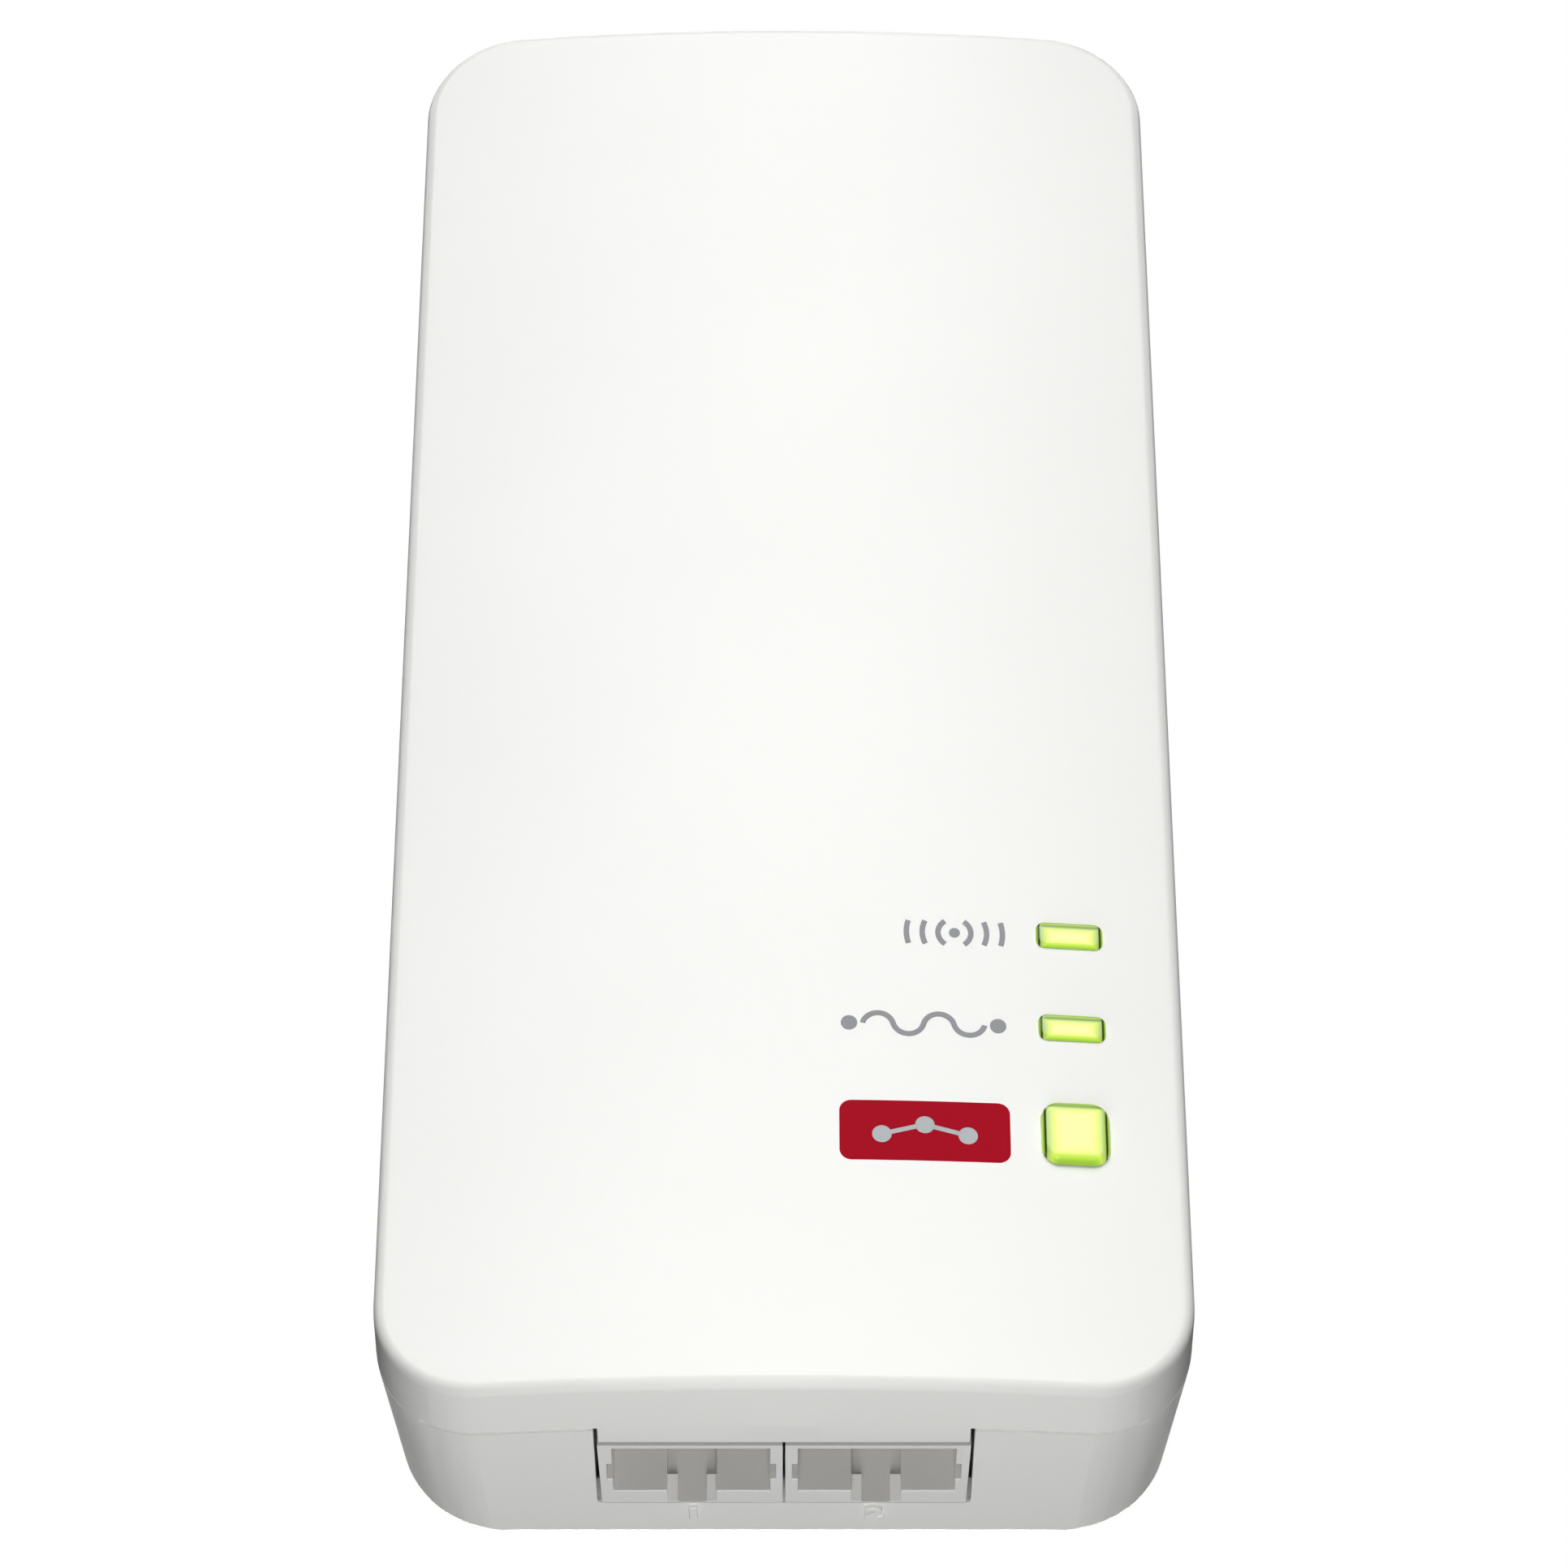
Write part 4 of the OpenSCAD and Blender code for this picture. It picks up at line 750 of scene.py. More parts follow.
@dataclass(frozen=True)
class Picture:
    """The photograph's frame, its image points and the camera they settle.

    Attributes:
        edges: Where the object's outermost edges lie; not used.
        points: Middle of each feature that shows.
        lens, sensor: Focal length, and the sensor's width.
        tilt: How far the camera looks up, in degrees.
        place: Place of the camera.
    """

    edges: dict[str, float] = field(default_factory=lambda: {
        "left": 373.3, "right": 1193.9, "top": 32.5, "bottom": 1529.0})
    points: dict[str, tuple[float, float]] = field(default_factory=lambda: {
        "wlan_window": (1068.9, 937.2), "powerline_window": (1071.7, 1029.8),
        "button": (1074.9, 1135.8), "badge": (925.0, 1130.8), "wlan_mark": (954.4, 932.9),
        "powerline_mark": (923.6, 1023.8), "socket_1": (690.3, 1472.2), "socket_2": (877.6, 1472.2),
        "numeral_1": (693.1, 1514.4), "numeral_2": (874.1, 1514.4)})
    lens: float = 129.97
    sensor: float = 36.0
    tilt: float = 34.0
    place: Vector = field(default_factory=lambda: Vector((0.0, -403.9, -279.8)))

    def camera(self) -> None:
        """Makes the camera."""
        data = bpy.data.cameras.new("camera")
        data.lens = self.lens
        data.sensor_width = self.sensor
        data.sensor_fit = "AUTO"
        camera = bpy.data.objects.new("camera", data)
        camera.location = self.place * MM
        camera.rotation_euler = (math.radians(90 + self.tilt), 0, 0)
        bpy.context.scene.collection.objects.link(camera)
        bpy.context.scene.camera = camera

    @property
    def turn(self) -> Matrix:
        """Gives the camera's axes."""
        return Matrix.Rotation(math.radians(90 + self.tilt), 3, "X")

    def find(self, point: str, *carriers: bpy.types.Object) -> tuple[Vector, Vector]:
        """Finds the place on the carriers that an image point looks at.

        Args:
            point: Name of the point.
            carriers: What carries the piece, as finished.

        Returns:
            The place in millimetres, and the surface's normal there. Where the ray misses,
            this is the place nearest to it.
        """
        x, y = self.points[point]
        half = POINTS_FRAME / 2
        way = self.turn @ Vector((x - half, half - y, -POINTS_FRAME * self.lens / self.sensor))
        way.normalize()
        start = self.place * MM
        tree, corners = surface(carriers)
        place, normal, _, _ = tree.ray_cast(start, way)
        if place is None:
            nearest = min(corners, key=lambda c: (c - start).cross(way).length)
            place, normal, _, _ = tree.find_nearest(nearest)
        return place / MM, normal

    def show(self, corner: Vector) -> tuple[float, float]:
        """Tells where a place in metres shows in the frame of the image points."""
        seen = self.turn.transposed() @ (corner - self.place * MM)
        reach = POINTS_FRAME * self.lens / self.sensor / -seen.z
        return POINTS_FRAME / 2 + seen.x * reach, POINTS_FRAME / 2 - seen.y * reach

    def visible(self, obj: bpy.types.Object, tree: BVHTree) -> list[tuple[float, float]]:
        """Gives the image places of an object's vertices that nothing hides."""
        eye = self.place * MM
        seen = []
        for v in obj.data.vertices:
            corner = obj.matrix_world @ v.co
            back = eye - corner
            hit = tree.ray_cast(corner + back.normalized() * 2e-5, back.normalized())
            if hit[0] is None:
                seen.append(self.show(corner))
        return seen

    def report(self, shown: dict[str, bpy.types.Object], outline: Iterable[bpy.types.Object]) -> None:
        """Finds the unhidden image places of each shown thing and of the outline, and keeps none of them.

        Args:
            shown: The object that shows at each point.
            outline: The objects whose edges are the object's edges.
        """
        tree, _ = surface(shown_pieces())
        for name, obj in shown.items():
            seen = self.visible(obj, tree)
        rim = [p for obj in outline for p in self.visible(obj, tree)]


def surface(objects: Iterable[bpy.types.Object]) -> tuple[BVHTree, list[Vector]]:
    """Gives a tree over the meshes as they stand, and their corners."""
    corners, faces = [], []
    for obj in objects:
        if obj.type != "MESH":
            continue
        first = len(corners)
        corners.extend(obj.matrix_world @ v.co for v in obj.data.vertices)
        faces.extend([first + i for i in p.vertices] for p in obj.data.polygons)
    return BVHTree.FromPolygons(corners, faces), corners


# ---- The shells ----


@dataclass
class FrontCover:
    """Crowned front cover with the tongue over the sockets.

    Attributes:
        housing: Driving sizes.
        draft: Draft of the side, in degrees.
        edge: Fillet round the front.
        lip_room: Depth of the step for the rear housing's lip.
        tongue: Length of the tongue, and half its width.
        tongue_draft: Draft of the tongue's face, in degrees.
        tongue_end: Where the tongue ends.
        slices: Cuts across the width and along the length, which let it follow the crown.
        ends: How far the cuts along the length stay off both ends.
    """

    housing: Housing
    draft: float = 1.2
    edge: float = 0.85
    lip_room: float = 1.75
    tongue: tuple[float, float] = (2.66, 13.65)
    tongue_draft: float = 4.5
    tongue_end: float = -32.92
    slices: tuple[int, int] = (40, 12)
    ends: float = 9.0

    def build(self, holes: Sequence[Workpiece]) -> Workpiece:
        """Makes the cover.

        Args:
            holes: Cutters for what passes through the front.

        Returns:
            The finished piece.
        """
        h = self.housing
        side = h.cover_depth - self.edge
        side_in = math.tan(math.radians(self.draft)) * side
        with Workpiece.sheet("front_cover", h.middle(h.parting_y), 2 * h.half_width, h.length) as cover:
            cover.round_corners(h.corner_radius)
            cover.step(side_in, side)
            cover.fillet(self.edge, 8)
            cover.close()
            cover.pick_end(1)
            cover.step(h.wall / 2)
            cover.extrude(-self.lip_room)
            cover.step(h.wall / 2)
            cover.step(side_in, -(h.cover_depth - h.wall - self.lip_room))
            self.add_tongue(cover)
            cover.slice(0, spread(-h.half_width, h.half_width, self.slices[0]))
            cover.slice(2, spread(h.low.z + self.ends, h.high.z - self.ends, self.slices[1]))
            cover.follow_crown(h)
            self.level_tongue(cover)
        cover.soften(0.1).cut(*holes)
        with cover:
            cover.pick("edges", lambda e: all(abs(v.co.y - h.parting_y * MM) < NEAR / 2 * MM
                       and v.co.z < (h.low.z + BAND) * MM for v in e.verts))
            bpy.ops.mesh.mark_sharp()
        return cover.smooth()

    def add_tongue(self, cover: Workpiece) -> None:
        """Draws the tongue out of the cover's lower rim."""
        h = self.housing
        reach, half = self.tongue
        cover.slice(0, (-half, half))
        rim = (h.low.z + h.wall / 2 + TOUCH) * MM
        cover.pick("faces", lambda f: f.normal.y > UPRIGHT and f.calc_center_median().z < rim
                   and abs(f.calc_center_median().x) < half * MM
                   and abs(f.calc_center_median().y - h.parting_y * MM) < TOUCH * MM)
        cover.extrude(reach)
        end, face = (h.parting_y + reach - NEAR) * MM, (h.low.z + NEAR) * MM
        cover.pick("verts", lambda v: v.co.y > end and v.co.z < face)
        cover.push(z=math.tan(math.radians(self.tongue_draft)) * reach)

    def level_tongue(self, cover: Workpiece) -> None:
        """Makes the end of the tongue straight again."""
        h = self.housing
        start = (h.parting_y + self.tongue[0] - 2 * BAND) * MM
        cover.pick("verts", lambda v: v.co.y > start and v.co.z < (h.low.z + h.wall) * MM)
        bpy.ops.transform.resize(value=(1, 0, 1), center_override=(0, self.tongue_end * MM, 0))


@dataclass
class RearHousing:
    """Rear housing with its lip, the sockets' window, the vents and the plug's hole.

    Attributes:
        housing: Driving sizes.
        draft: Draft of the side, in degrees.
        edge: Fillet round the back.
        back_radius: Radius of the corners at the back.
        lip: How far in from the side the lip starts, and how far it stands out.
        groove: Width and depth of the groove outside the lip.
        seam_more: How much the seam is wider than the solids' one.
        vent, vents: Width and pitch of the vents, and how many lie in a row.
        top_vent: Ends along Y of the vents in the upper end.
        rear_vent: Ends along Z of the vents in the rear face.
        window: Half the width of the sockets' window, and its rear edge.
        window_front: Where the window's cutter starts, ahead of the shell.
        window_corner: Round of the window's two corners.
        undercut: Its height above the lower end, its extra width, its front, and how far ahead
            of the window's rear edge it ends.
        boss: Diameters of the boss, of the screw's well and of its hole.
        boss_ends: Front end of the boss, and the seat of the screw's head.
        boss_in: How far the bosses stand in from the side and from the ends.
        past: How far the cutters reach through a face.
        slices: Cuts across the width, which let it follow the crown.
    """

    housing: Housing
    draft: float = 3.1
    edge: float = 0.8
    back_radius: float = 8.2
    lip: tuple[float, float] = (1.15, 1.85)
    groove: tuple[float, float] = (0.24, 0.2)
    seam_more: float = 0.08
    vent: tuple[float, float] = (1.8, 4.2)
    vents: int = 9
    top_vent: tuple[float, float] = (-29.8, -22.8)
    rear_vent: tuple[float, float] = (-54.5, -41.5)
    window: tuple[float, float] = (13.97, -22.12)
    window_front: float = -45.0
    window_corner: float = 0.5
    undercut: tuple[float, float, float, float] = (1.02, 0.6, -34.0, 0.05)
    boss: tuple[float, float, float] = (6.4, 5.1, 2.9)
    boss_ends: tuple[float, float] = (-32.66, -28.5)
    boss_in: tuple[float, float] = (6.3, 7.0)
    past: float = 4.0
    slices: int = 40

    def boss_places(self) -> list[tuple[float, float]]:
        """Gives x and z of the four screw bosses."""
        h = self.housing
        x, end = h.half_width - self.boss_in[0], self.boss_in[1]
        return [(s * x, z) for s in (-1, 1) for z in (h.low.z + end, h.high.z - end)]

    def build(self, plug_hole: Workpiece) -> Workpiece:
        """Makes the rear housing.

        Args:
            plug_hole: Cutter in the form of the plug's section.

        Returns:
            The finished piece.
        """
        h = self.housing
        slope = math.tan(math.radians(self.draft))
        rim_in = slope * h.seam
        rim_y = h.parting_y + h.seam + self.seam_more
        depth = h.rear_y - self.edge - rim_y
        inside = h.rear_y - h.wall - (rim_y - self.lip[1])
        with Workpiece.sheet("rear_housing", h.middle(rim_y), 2 * (h.half_width - rim_in),
                             h.length - 2 * rim_in, back=True) as shell:
            shell.round_corners(h.corner_radius - rim_in)
            shell.step(slope * depth, depth)
            self.round_back(shell, rim_in + slope * depth)
            shell.fillet(self.edge, 4)
            shell.close()
            shell.pick_end(-1)
            shell.step(self.groove[0])
            shell.extrude(-self.groove[1])
            shell.step(self.lip[0] - self.groove[0])
            shell.extrude(self.groove[1] - self.lip[1])
            shell.step(h.wall - self.lip[0])
            shell.step(slope * inside, -inside)
            shell.slice(0, spread(-h.half_width, h.half_width, self.slices))
            shell.follow_crown(h, behind=rim_y + BAND)
        shell.cut(*self.posts("boss", (h.rear_y - 1, self.boss_ends[0]), self.boss[0]), add=True)
        shell.cut(plug_hole, *self.cutters())
        return shell.soften(0.12).smooth()

    def round_back(self, shell: Workpiece, inset: float) -> None:
        """Gives the back its own corner radius, and leaves the back picked.

        Args:
            shell: Rear housing, drawn as far as the back.
            inset: How far the back's outline lies inside the cover's.
        """
        h = self.housing
        middle, radius = h.middle(h.rear_y), h.corner_radius - inset
        grow = self.back_radius / radius
        back, reach = (h.rear_y - self.edge - NEAR) * MM, (radius + TOUCH) * MM
        for sx, sz in ((-1, -1), (-1, 1), (1, -1), (1, 1)):
            x = (middle.x + sx * (h.half_width - inset)) * MM
            z = (middle.z + sz * (h.length / 2 - inset)) * MM
            shell.pick("verts", lambda v: v.co.y > back
                       and (x - v.co.x) * sx < reach and (z - v.co.z) * sz < reach)
            bpy.ops.transform.resize(value=(grow, 1, grow), center_override=(x, 0, z))
        shell.pick("faces", lambda f: f.calc_center_median().y > back)

    def posts(self, name: str, ends: Place, width: float, sides: int = 32) -> list[Workpiece]:
        """Makes a rod at each screw.

        Args:
            name: Name of the rods.
            ends: Where they start and end.
            width: Their diameter.
            sides: How many flats they have.

        Returns:
            The four rods.
        """
        return [Workpiece.rod(name, (x, ends[0], z), (x, ends[1], z), width / 2, sides)
                for x, z in self.boss_places()]

    def cutters(self) -> list[Workpiece]:
        """Makes the cutters for the window, the vents and the screw holes."""
        h = self.housing
        half, rear = self.window
        with Workpiece.block("window", (-half, self.window_front, h.low.z - 1),
                             (half, rear, h.low.z + self.past)) as window:
            window.pick("edges", lambda e: all(v.co.y > (rear - NEAR) * MM for v in e.verts)
                        and abs(e.verts[0].co.x - e.verts[1].co.x) < TOUCH * MM)
            bpy.ops.mesh.bevel(offset=self.window_corner * MM, segments=6)
        up, more, front, short = self.undercut
        cuts = [window, Workpiece.block("undercut", (-half - more, front, h.low.z + up),
                                        (half + more, rear - short, h.low.z + self.past))]
        width, pitch = self.vent
        through_top = (h.high.z - self.past, h.high.z + self.past)
        through_back = (h.rear_y - self.past, h.rear_y + self.past)
        for i in range(self.vents):
            x = (i - (self.vents - 1) / 2) * pitch
            for y, z in ((self.top_vent, through_top), (through_back, self.rear_vent)):
                cuts.append(Workpiece.block("vent", (x - width / 2, y[0], z[0]),
                                            (x + width / 2, y[1], z[1])))
        wells = self.posts("well", (h.rear_y + 1, self.boss_ends[1]), self.boss[1], 48)
        bores = self.posts("bore", (h.rear_y, self.boss_ends[0] - 1), self.boss[2])
        for well, bore in zip(wells, bores):
            cuts += [well, bore]
        return cuts


# ---- The plug ----


@dataclass
class Plug:
    """Plug with its cup, the carrier that closes it and the two pins.

    Attributes:
        housing: Driving sizes.
        radius, outside: Radius of the round body, and how far out its grooves are cut.
        flange: Radius of the flange inside the housing, and how far ahead of the wall it starts.
        wall: Wall thickness of the cup.
        side_groove, clip_groove: Depth and width of the grooves at the sides and at the ends.
        carrier: Thickness of the carrier's plate, and length of its spigot.
        fit: Room round the plug in the housing, and round the spigot in the cup.
        lap, clear: Overlap of joined forms, and play of parts that touch.
        hole: Ends of the cutter for the plug's hole in the housing.
        pin_radius, pin_base: Radius of a pin, and of its thick base.
        pin_x, pin_end: Places of the pins and of their tips.
        pin_hole: Ends of the cutters for the pins.
        pin_edge, tip: Flat round the base's end, and round of the tip.
        pin_inside: Step and length of the collar behind the carrier, then of the lead's stub.
    """

    housing: Housing
    radius: float = 18.5
    outside: float = 30.0
    flange: tuple[float, float] = (20.1, 1.58)
    wall: float = 2.0
    side_groove: tuple[float, float] = (2.4, 5.0)
    clip_groove: tuple[float, float] = (2.8, 7.0)
    carrier: tuple[float, float] = (2.5, 4.0)
    fit: float = 0.15
    lap: float = 0.02
    clear: float = 0.03
    hole: tuple[float, float] = (-24.0, -10.0)
    pin_radius: float = 2.4
    pin_base: float = 2.8
    pin_x: float = 9.5
    pin_end: float = 19.0
    pin_hole: tuple[float, float] = (-12.0, 1.0)
    pin_edge: float = 0.12
    tip: float = 1.056
    pin_inside: tuple[tuple[float, float], ...] = ((-0.6, 1.2), (1.9, 3.5))

    def section(self, name: str, shrink: float, start: float, end: float) -> Workpiece:
        """Makes the plug's section as a solid.

        Args:
            name: Name of the piece.
            shrink: How much smaller it is on every side.
            start: Its front.
            end: Its rear.

        Returns:
            The solid.
        """
        body = Workpiece.rod(name, (0, start, 0), (0, end, 0), self.radius - shrink, 128)
        cuts = []
        for s in (-1, 1):
            for (deep, wide), across in ((self.side_groove, True), (self.clip_groove, False)):
                reach = sorted((s * (self.radius - deep - shrink), s * self.outside))
                span = (-wide / 2 - shrink, wide / 2 + shrink)
                x, z = (reach, span) if across else (span, reach)
                cuts.append(Workpiece.block("groove", (x[0], start - 1, z[0]), (x[1], end + 1, z[1])))
        return body.cut(*cuts)

    def housing_hole(self) -> Workpiece:
        """Makes the cutter for the plug's hole in the housing."""
        return self.section("plug_hole", -self.fit, *self.hole)

    def body(self) -> Workpiece:
        """Makes the cup with the flange behind the housing's wall."""
        wall_y = self.housing.rear_y - self.housing.wall
        cup = self.section("plug_body", 0, wall_y - 2 * self.lap, -self.carrier[0])
        radius, ahead = self.flange
        rim = Workpiece.rod("flange", (0, wall_y - ahead, 0), (0, wall_y - self.lap, 0), radius, 96)
        cup.cut(rim, add=True)
        cup.cut(self.section("hollow", self.wall, wall_y - 3, 1))
        return cup.soften(0.25, 3).smooth()

    def plate(self) -> Workpiece:
        """Makes the carrier with its spigot and the pins' holes."""
        plate = self.section("pin_carrier", 0, self.clear - self.carrier[0], 0)
        plate.cut(self.section("spigot", self.wall + self.fit, -sum(self.carrier), -1), add=True)
        start, end = self.pin_hole
        for x in (-self.pin_x, self.pin_x):
            plate.cut(Workpiece.rod("hole", (x, start, 0), (x, end, 0), self.pin_base + self.clear))
        return plate.soften(0.3, 3).smooth()

    def pin(self, name: str, side: int) -> Workpiece:
        """Makes a pin with its thick base, shoulder and rounded tip.

        Args:
            name: Name of the piece.
            side: -1 for the left one, 1 for the right one.

        Returns:
            The finished piece.
        """
        x = side * self.pin_x
        inner = -sum(self.carrier) - self.clear
        with Workpiece.rod(name, (x, inner, 0), (x, -self.lap, 0), self.pin_base) as pin:
            pin.pick_end(1)
            pin.step(self.pin_edge)
            pin.step(self.pin_base - self.pin_radius - self.pin_edge)
            pin.extrude(self.pin_end + self.lap - self.tip)
            pin.fillet(self.tip, 7)
            pin.pick_end(-1)
            for inward, length in self.pin_inside:
                pin.step(inward)
                pin.extrude(-length)
        return pin.smooth()


@dataclass
class HousingScrews:
    """Four cross-recessed screws, sunk from the rear.

    Attributes:
        places: x and z of each.
        seat: Where the heads rest.
        head: Radius and height of the head.
        shank: Radius and length of the shank.
        point: How far the shank narrows at its end.
        cross: Half the length and half the width of the recess, and its depth.
    """

    places: list[tuple[float, float]]
    seat: float = -28.47
    head: tuple[float, float] = (2.4, 1.9)
    shank: tuple[float, float] = (1.3, 9.0)
    point: float = 0.9
    cross: tuple[float, float, float] = (1.45, 0.38, 1.1)

    def build(self) -> Workpiece:
        """Makes one screw and copies it to its four places."""
        x, z = self.places[0]
        top = self.seat + self.head[1]
        with Workpiece.rod("housing_screws", (x, self.seat, z), (x, top, z), self.head[0], 48) as screw:
            screw.pick_end(-1)
            screw.step(self.head[0] - self.shank[0])
            screw.extrude(self.shank[0] - self.shank[1])
            screw.step(self.point, self.shank[0])
        long, narrow, deep = self.cross
        for across, along in ((long, narrow), (narrow, long)):
            screw.cut(Workpiece.block("recess", (x - across, top - deep, z - along),
                                      (x + across, top + 1, z + along)))
        screw.soften(0.16, 2, 50).smooth()
        twins = [screw.copy("screw", (px - x, 0, pz - z)) for px, pz in self.places[1:]]
        return screw.join(*twins)


# ---- Windows and button ----


@dataclass
class Control:
    """A window or the button: a rounded block that follows the crown.

    Attributes:
        housing: Driving sizes.
        name: Its CAD node.
        centre: x and z of its middle.
        width, height: Its size.
        proud: How far its face stands in front of the crest.
        corner, edge: Radius of its corners, and fillet round its face.
        base: Where its body starts.
        gap: Room round it in the cover.
        hole_depth: How far its cutter reaches forward.
        foot: How far its foot stands out, and the foot's thickness.
        foot_y: Rear of the foot.
        crowned: Depth behind the face that follows the crown.
        slices: Cuts across the width, which let it follow the crown.
    """

    housing: Housing
    name: str
    centre: tuple[float, float]
    width: float
    height: float
    proud: float
    corner: float
    edge: float
    base: float = -35.36
    gap: float = 0.01
    hole_depth: float = 12.0
    foot: tuple[float, float] = (0.9, 0.85)
    foot_y: float = -37.2
    crowned: float = 1.2
    slices: int = 14

    def hole(self) -> Workpiece:
        """Makes the cutter for its hole in the cover."""
        (x, z), more = self.centre, 2 * self.gap
        with Workpiece.sheet("hole", (x, self.base, z), self.width + more, self.height + more) as cutter:
            cutter.round_corners(self.corner + self.gap, 8)
            cutter.step(SHEER, self.hole_depth)
            cutter.close()
        return cutter

    def build(self) -> Workpiece:
        """Makes the piece."""
        x, z = self.centre
        crest = self.housing.crest_y - self.proud
        with Workpiece.sheet(self.name, (x, self.base, z), self.width, self.height) as piece:
            piece.round_corners(self.corner, 8)
            piece.step(SHEER, self.base - crest - self.edge)
            piece.fillet(self.edge, 6)
            piece.close()
            piece.slice(0, spread(x - self.width / 2, x + self.width / 2, self.slices))
            piece.follow_crown(self.housing, behind=crest + self.crowned)
        rim, thick = self.foot
        across, along = self.width / 2 + rim, self.height / 2 + rim
        foot = Workpiece.block("foot", (x - across, self.foot_y - thick, z - along),
                               (x + across, self.foot_y, z + along))
        return piece.cut(foot, add=True).smooth(40)

    def lit(self, foot: float) -> LitGuide:
        """Gives its finish, whose lower band of painted light spreads by that factor."""
        x, z = self.centre
        return LitGuide(self.name, (x, self.housing.crest_y, z), (self.width / 2, self.height / 2), foot)


# ---- Sockets ----


@dataclass
class Socket8:
    """One eight-way LAN socket with its latch channel and contact comb.

    Attributes:
        name: Its CAD node.
        side: -1 for the left one, 1 for the right one.
        port: Width and depth of the port.
        port_y: Front and rear of the port.
        notch: How far the notches reach aside, their front and their rear.
        latch: Half the channel's width, depth of the tabs' ledge and of the channel's floor.
        slot: Half the width between the tabs, and the tabs' height.
        ramp: How far the tabs slope.
        comb: Half the width of the contacts' room, and its distances from the two ends.
        skin: What is left behind the slot.
        rebate: Depth and height of the step at the mouth.
        drop: How far the body reaches past the solid's rear.
        flare: How far the outer side stands out in front, and in at the rear.
        port_edge: Bevel of the port's edges.
    """

    name: str
    side: int
    port: tuple[float, float] = (11.65, 11.6)
    port_y: tuple[float, float] = (-30.92, -24.17)
    notch: tuple[float, float, float] = (0.42, -28.47, -26.02)
    latch: tuple[float, float, float] = (1.86, 0.95, 1.7)
    slot: tuple[float, float] = (1.075, 1.9)
    ramp: float = 0.6
    comb: tuple[float, float, float] = (4.28, 3.7, 1.6)
    skin: float = 0.1
    rebate: tuple[float, float] = (1.55, 2.0)
    drop: float = 0.24
    flare: tuple[float, float] = (0.14, 0.04)
    port_edge: float = 0.1

    def body(self, low: Vector, high: Vector) -> Workpiece:
        """Makes the outer block, whose outer side narrows towards the rear.

        Args:
            low: Lowest corner of the solid.
            high: Its highest corner.

        Returns:
            The block.
        """
        block = Workpiece.block(self.name, low, (high.x, high.y + self.drop, high.z))
        edge = (high.x if self.side > 0 else low.x) * MM
        for shift, rear in zip((self.flare[0], -self.flare[1]), (False, True)):
            with block:
                block.pick("verts", lambda v: abs(v.co.x - edge) < TOUCH * MM
                           and (v.co.y > (low.y + high.y) / 2 * MM) == rear)
                block.push(x=self.side * shift)
        return block

    def room(self, name: str, half: float, y: Place, z: Place) -> Workpiece:
        """Makes a cutter on the port's middle line.

        Args:
            name: Name of the cutter.
            half: Half its width.
            y: Its front and rear.
            z: Its lower and upper end.

        Returns:
            The cutter.
        """
        low, high = box_mm(self.name)
        x = (low.x + high.x) / 2
        return Workpiece.block(name, (x - half, y[0], z[0]), (x + half, y[1], z[1]))

    def build(self) -> Workpiece:
        """Makes the socket."""
        low, high = box_mm(self.name)
        front, wall = self.port_y
        mouth, back = low.z - 1, low.z + self.port[1]
        half = self.port[0] / 2
        aside, *notch_y = self.notch
        wide, ledge, floor = self.latch
        slot, tab = self.slot
        comb, comb_low, comb_top = self.comb
        step_y, step_z = low.y + self.rebate[0], low.z + self.rebate[1]
        shell = self.body(low, high)
        # The rooms overlap by unlike amounts, so that no two of their faces share a plane.
        shell.cut(
            self.room("port", half, (front, wall), (mouth, back)),
            self.room("notch", half + aside, notch_y, (mouth, back)),
            self.tab_ramp((wall - 1, wall + ledge), (mouth, low.z + tab + NEAR)),
            self.room("slot", slot, (wall - 0.9, high.y + self.drop - self.skin), (mouth, back - 0.02)),
            self.room("latch", wide, (wall - 0.8, wall + floor), (low.z + tab, back - 0.03)),
            self.room("comb", comb, (front - 1, front + TOUCH), (low.z + comb_low, high.z - comb_top)),
            Workpiece.block("rebate", (low.x - 1, low.y - 1, mouth), (high.x + 1, step_y, step_z)),
        )
        with shell:
            x, reach, face = (low.x + high.x) / 2 * MM, (half + BAND) * MM, (low.z + TOUCH) * MM
            near, far = (step_y + NEAR / 2) * MM, (wall + TOUCH) * MM
            shell.pick("edges", lambda e: all(v.co.z < face and near < v.co.y < far
                       and abs(v.co.x - x) < reach for v in e.verts) and e.calc_face_angle(0) > 1)
            bpy.ops.mesh.bevel(offset=self.port_edge * MM, segments=3)
        return shell.smooth(15)

    def tab_ramp(self, y: Place, z: Place) -> Workpiece:
        """Makes the cutter over the two tabs, which slope down to the mouth."""
        with self.room("ramp", self.latch[0], y, z) as cutter:
            cutter.pick("verts", lambda v: v.co.y > (y[1] - NEAR) * MM and v.co.z < (z[0] + NEAR) * MM)
            cutter.push(y=self.ramp * (z[1] - z[0]) / self.slot[1])
        return cutter


# ---- Marks ----


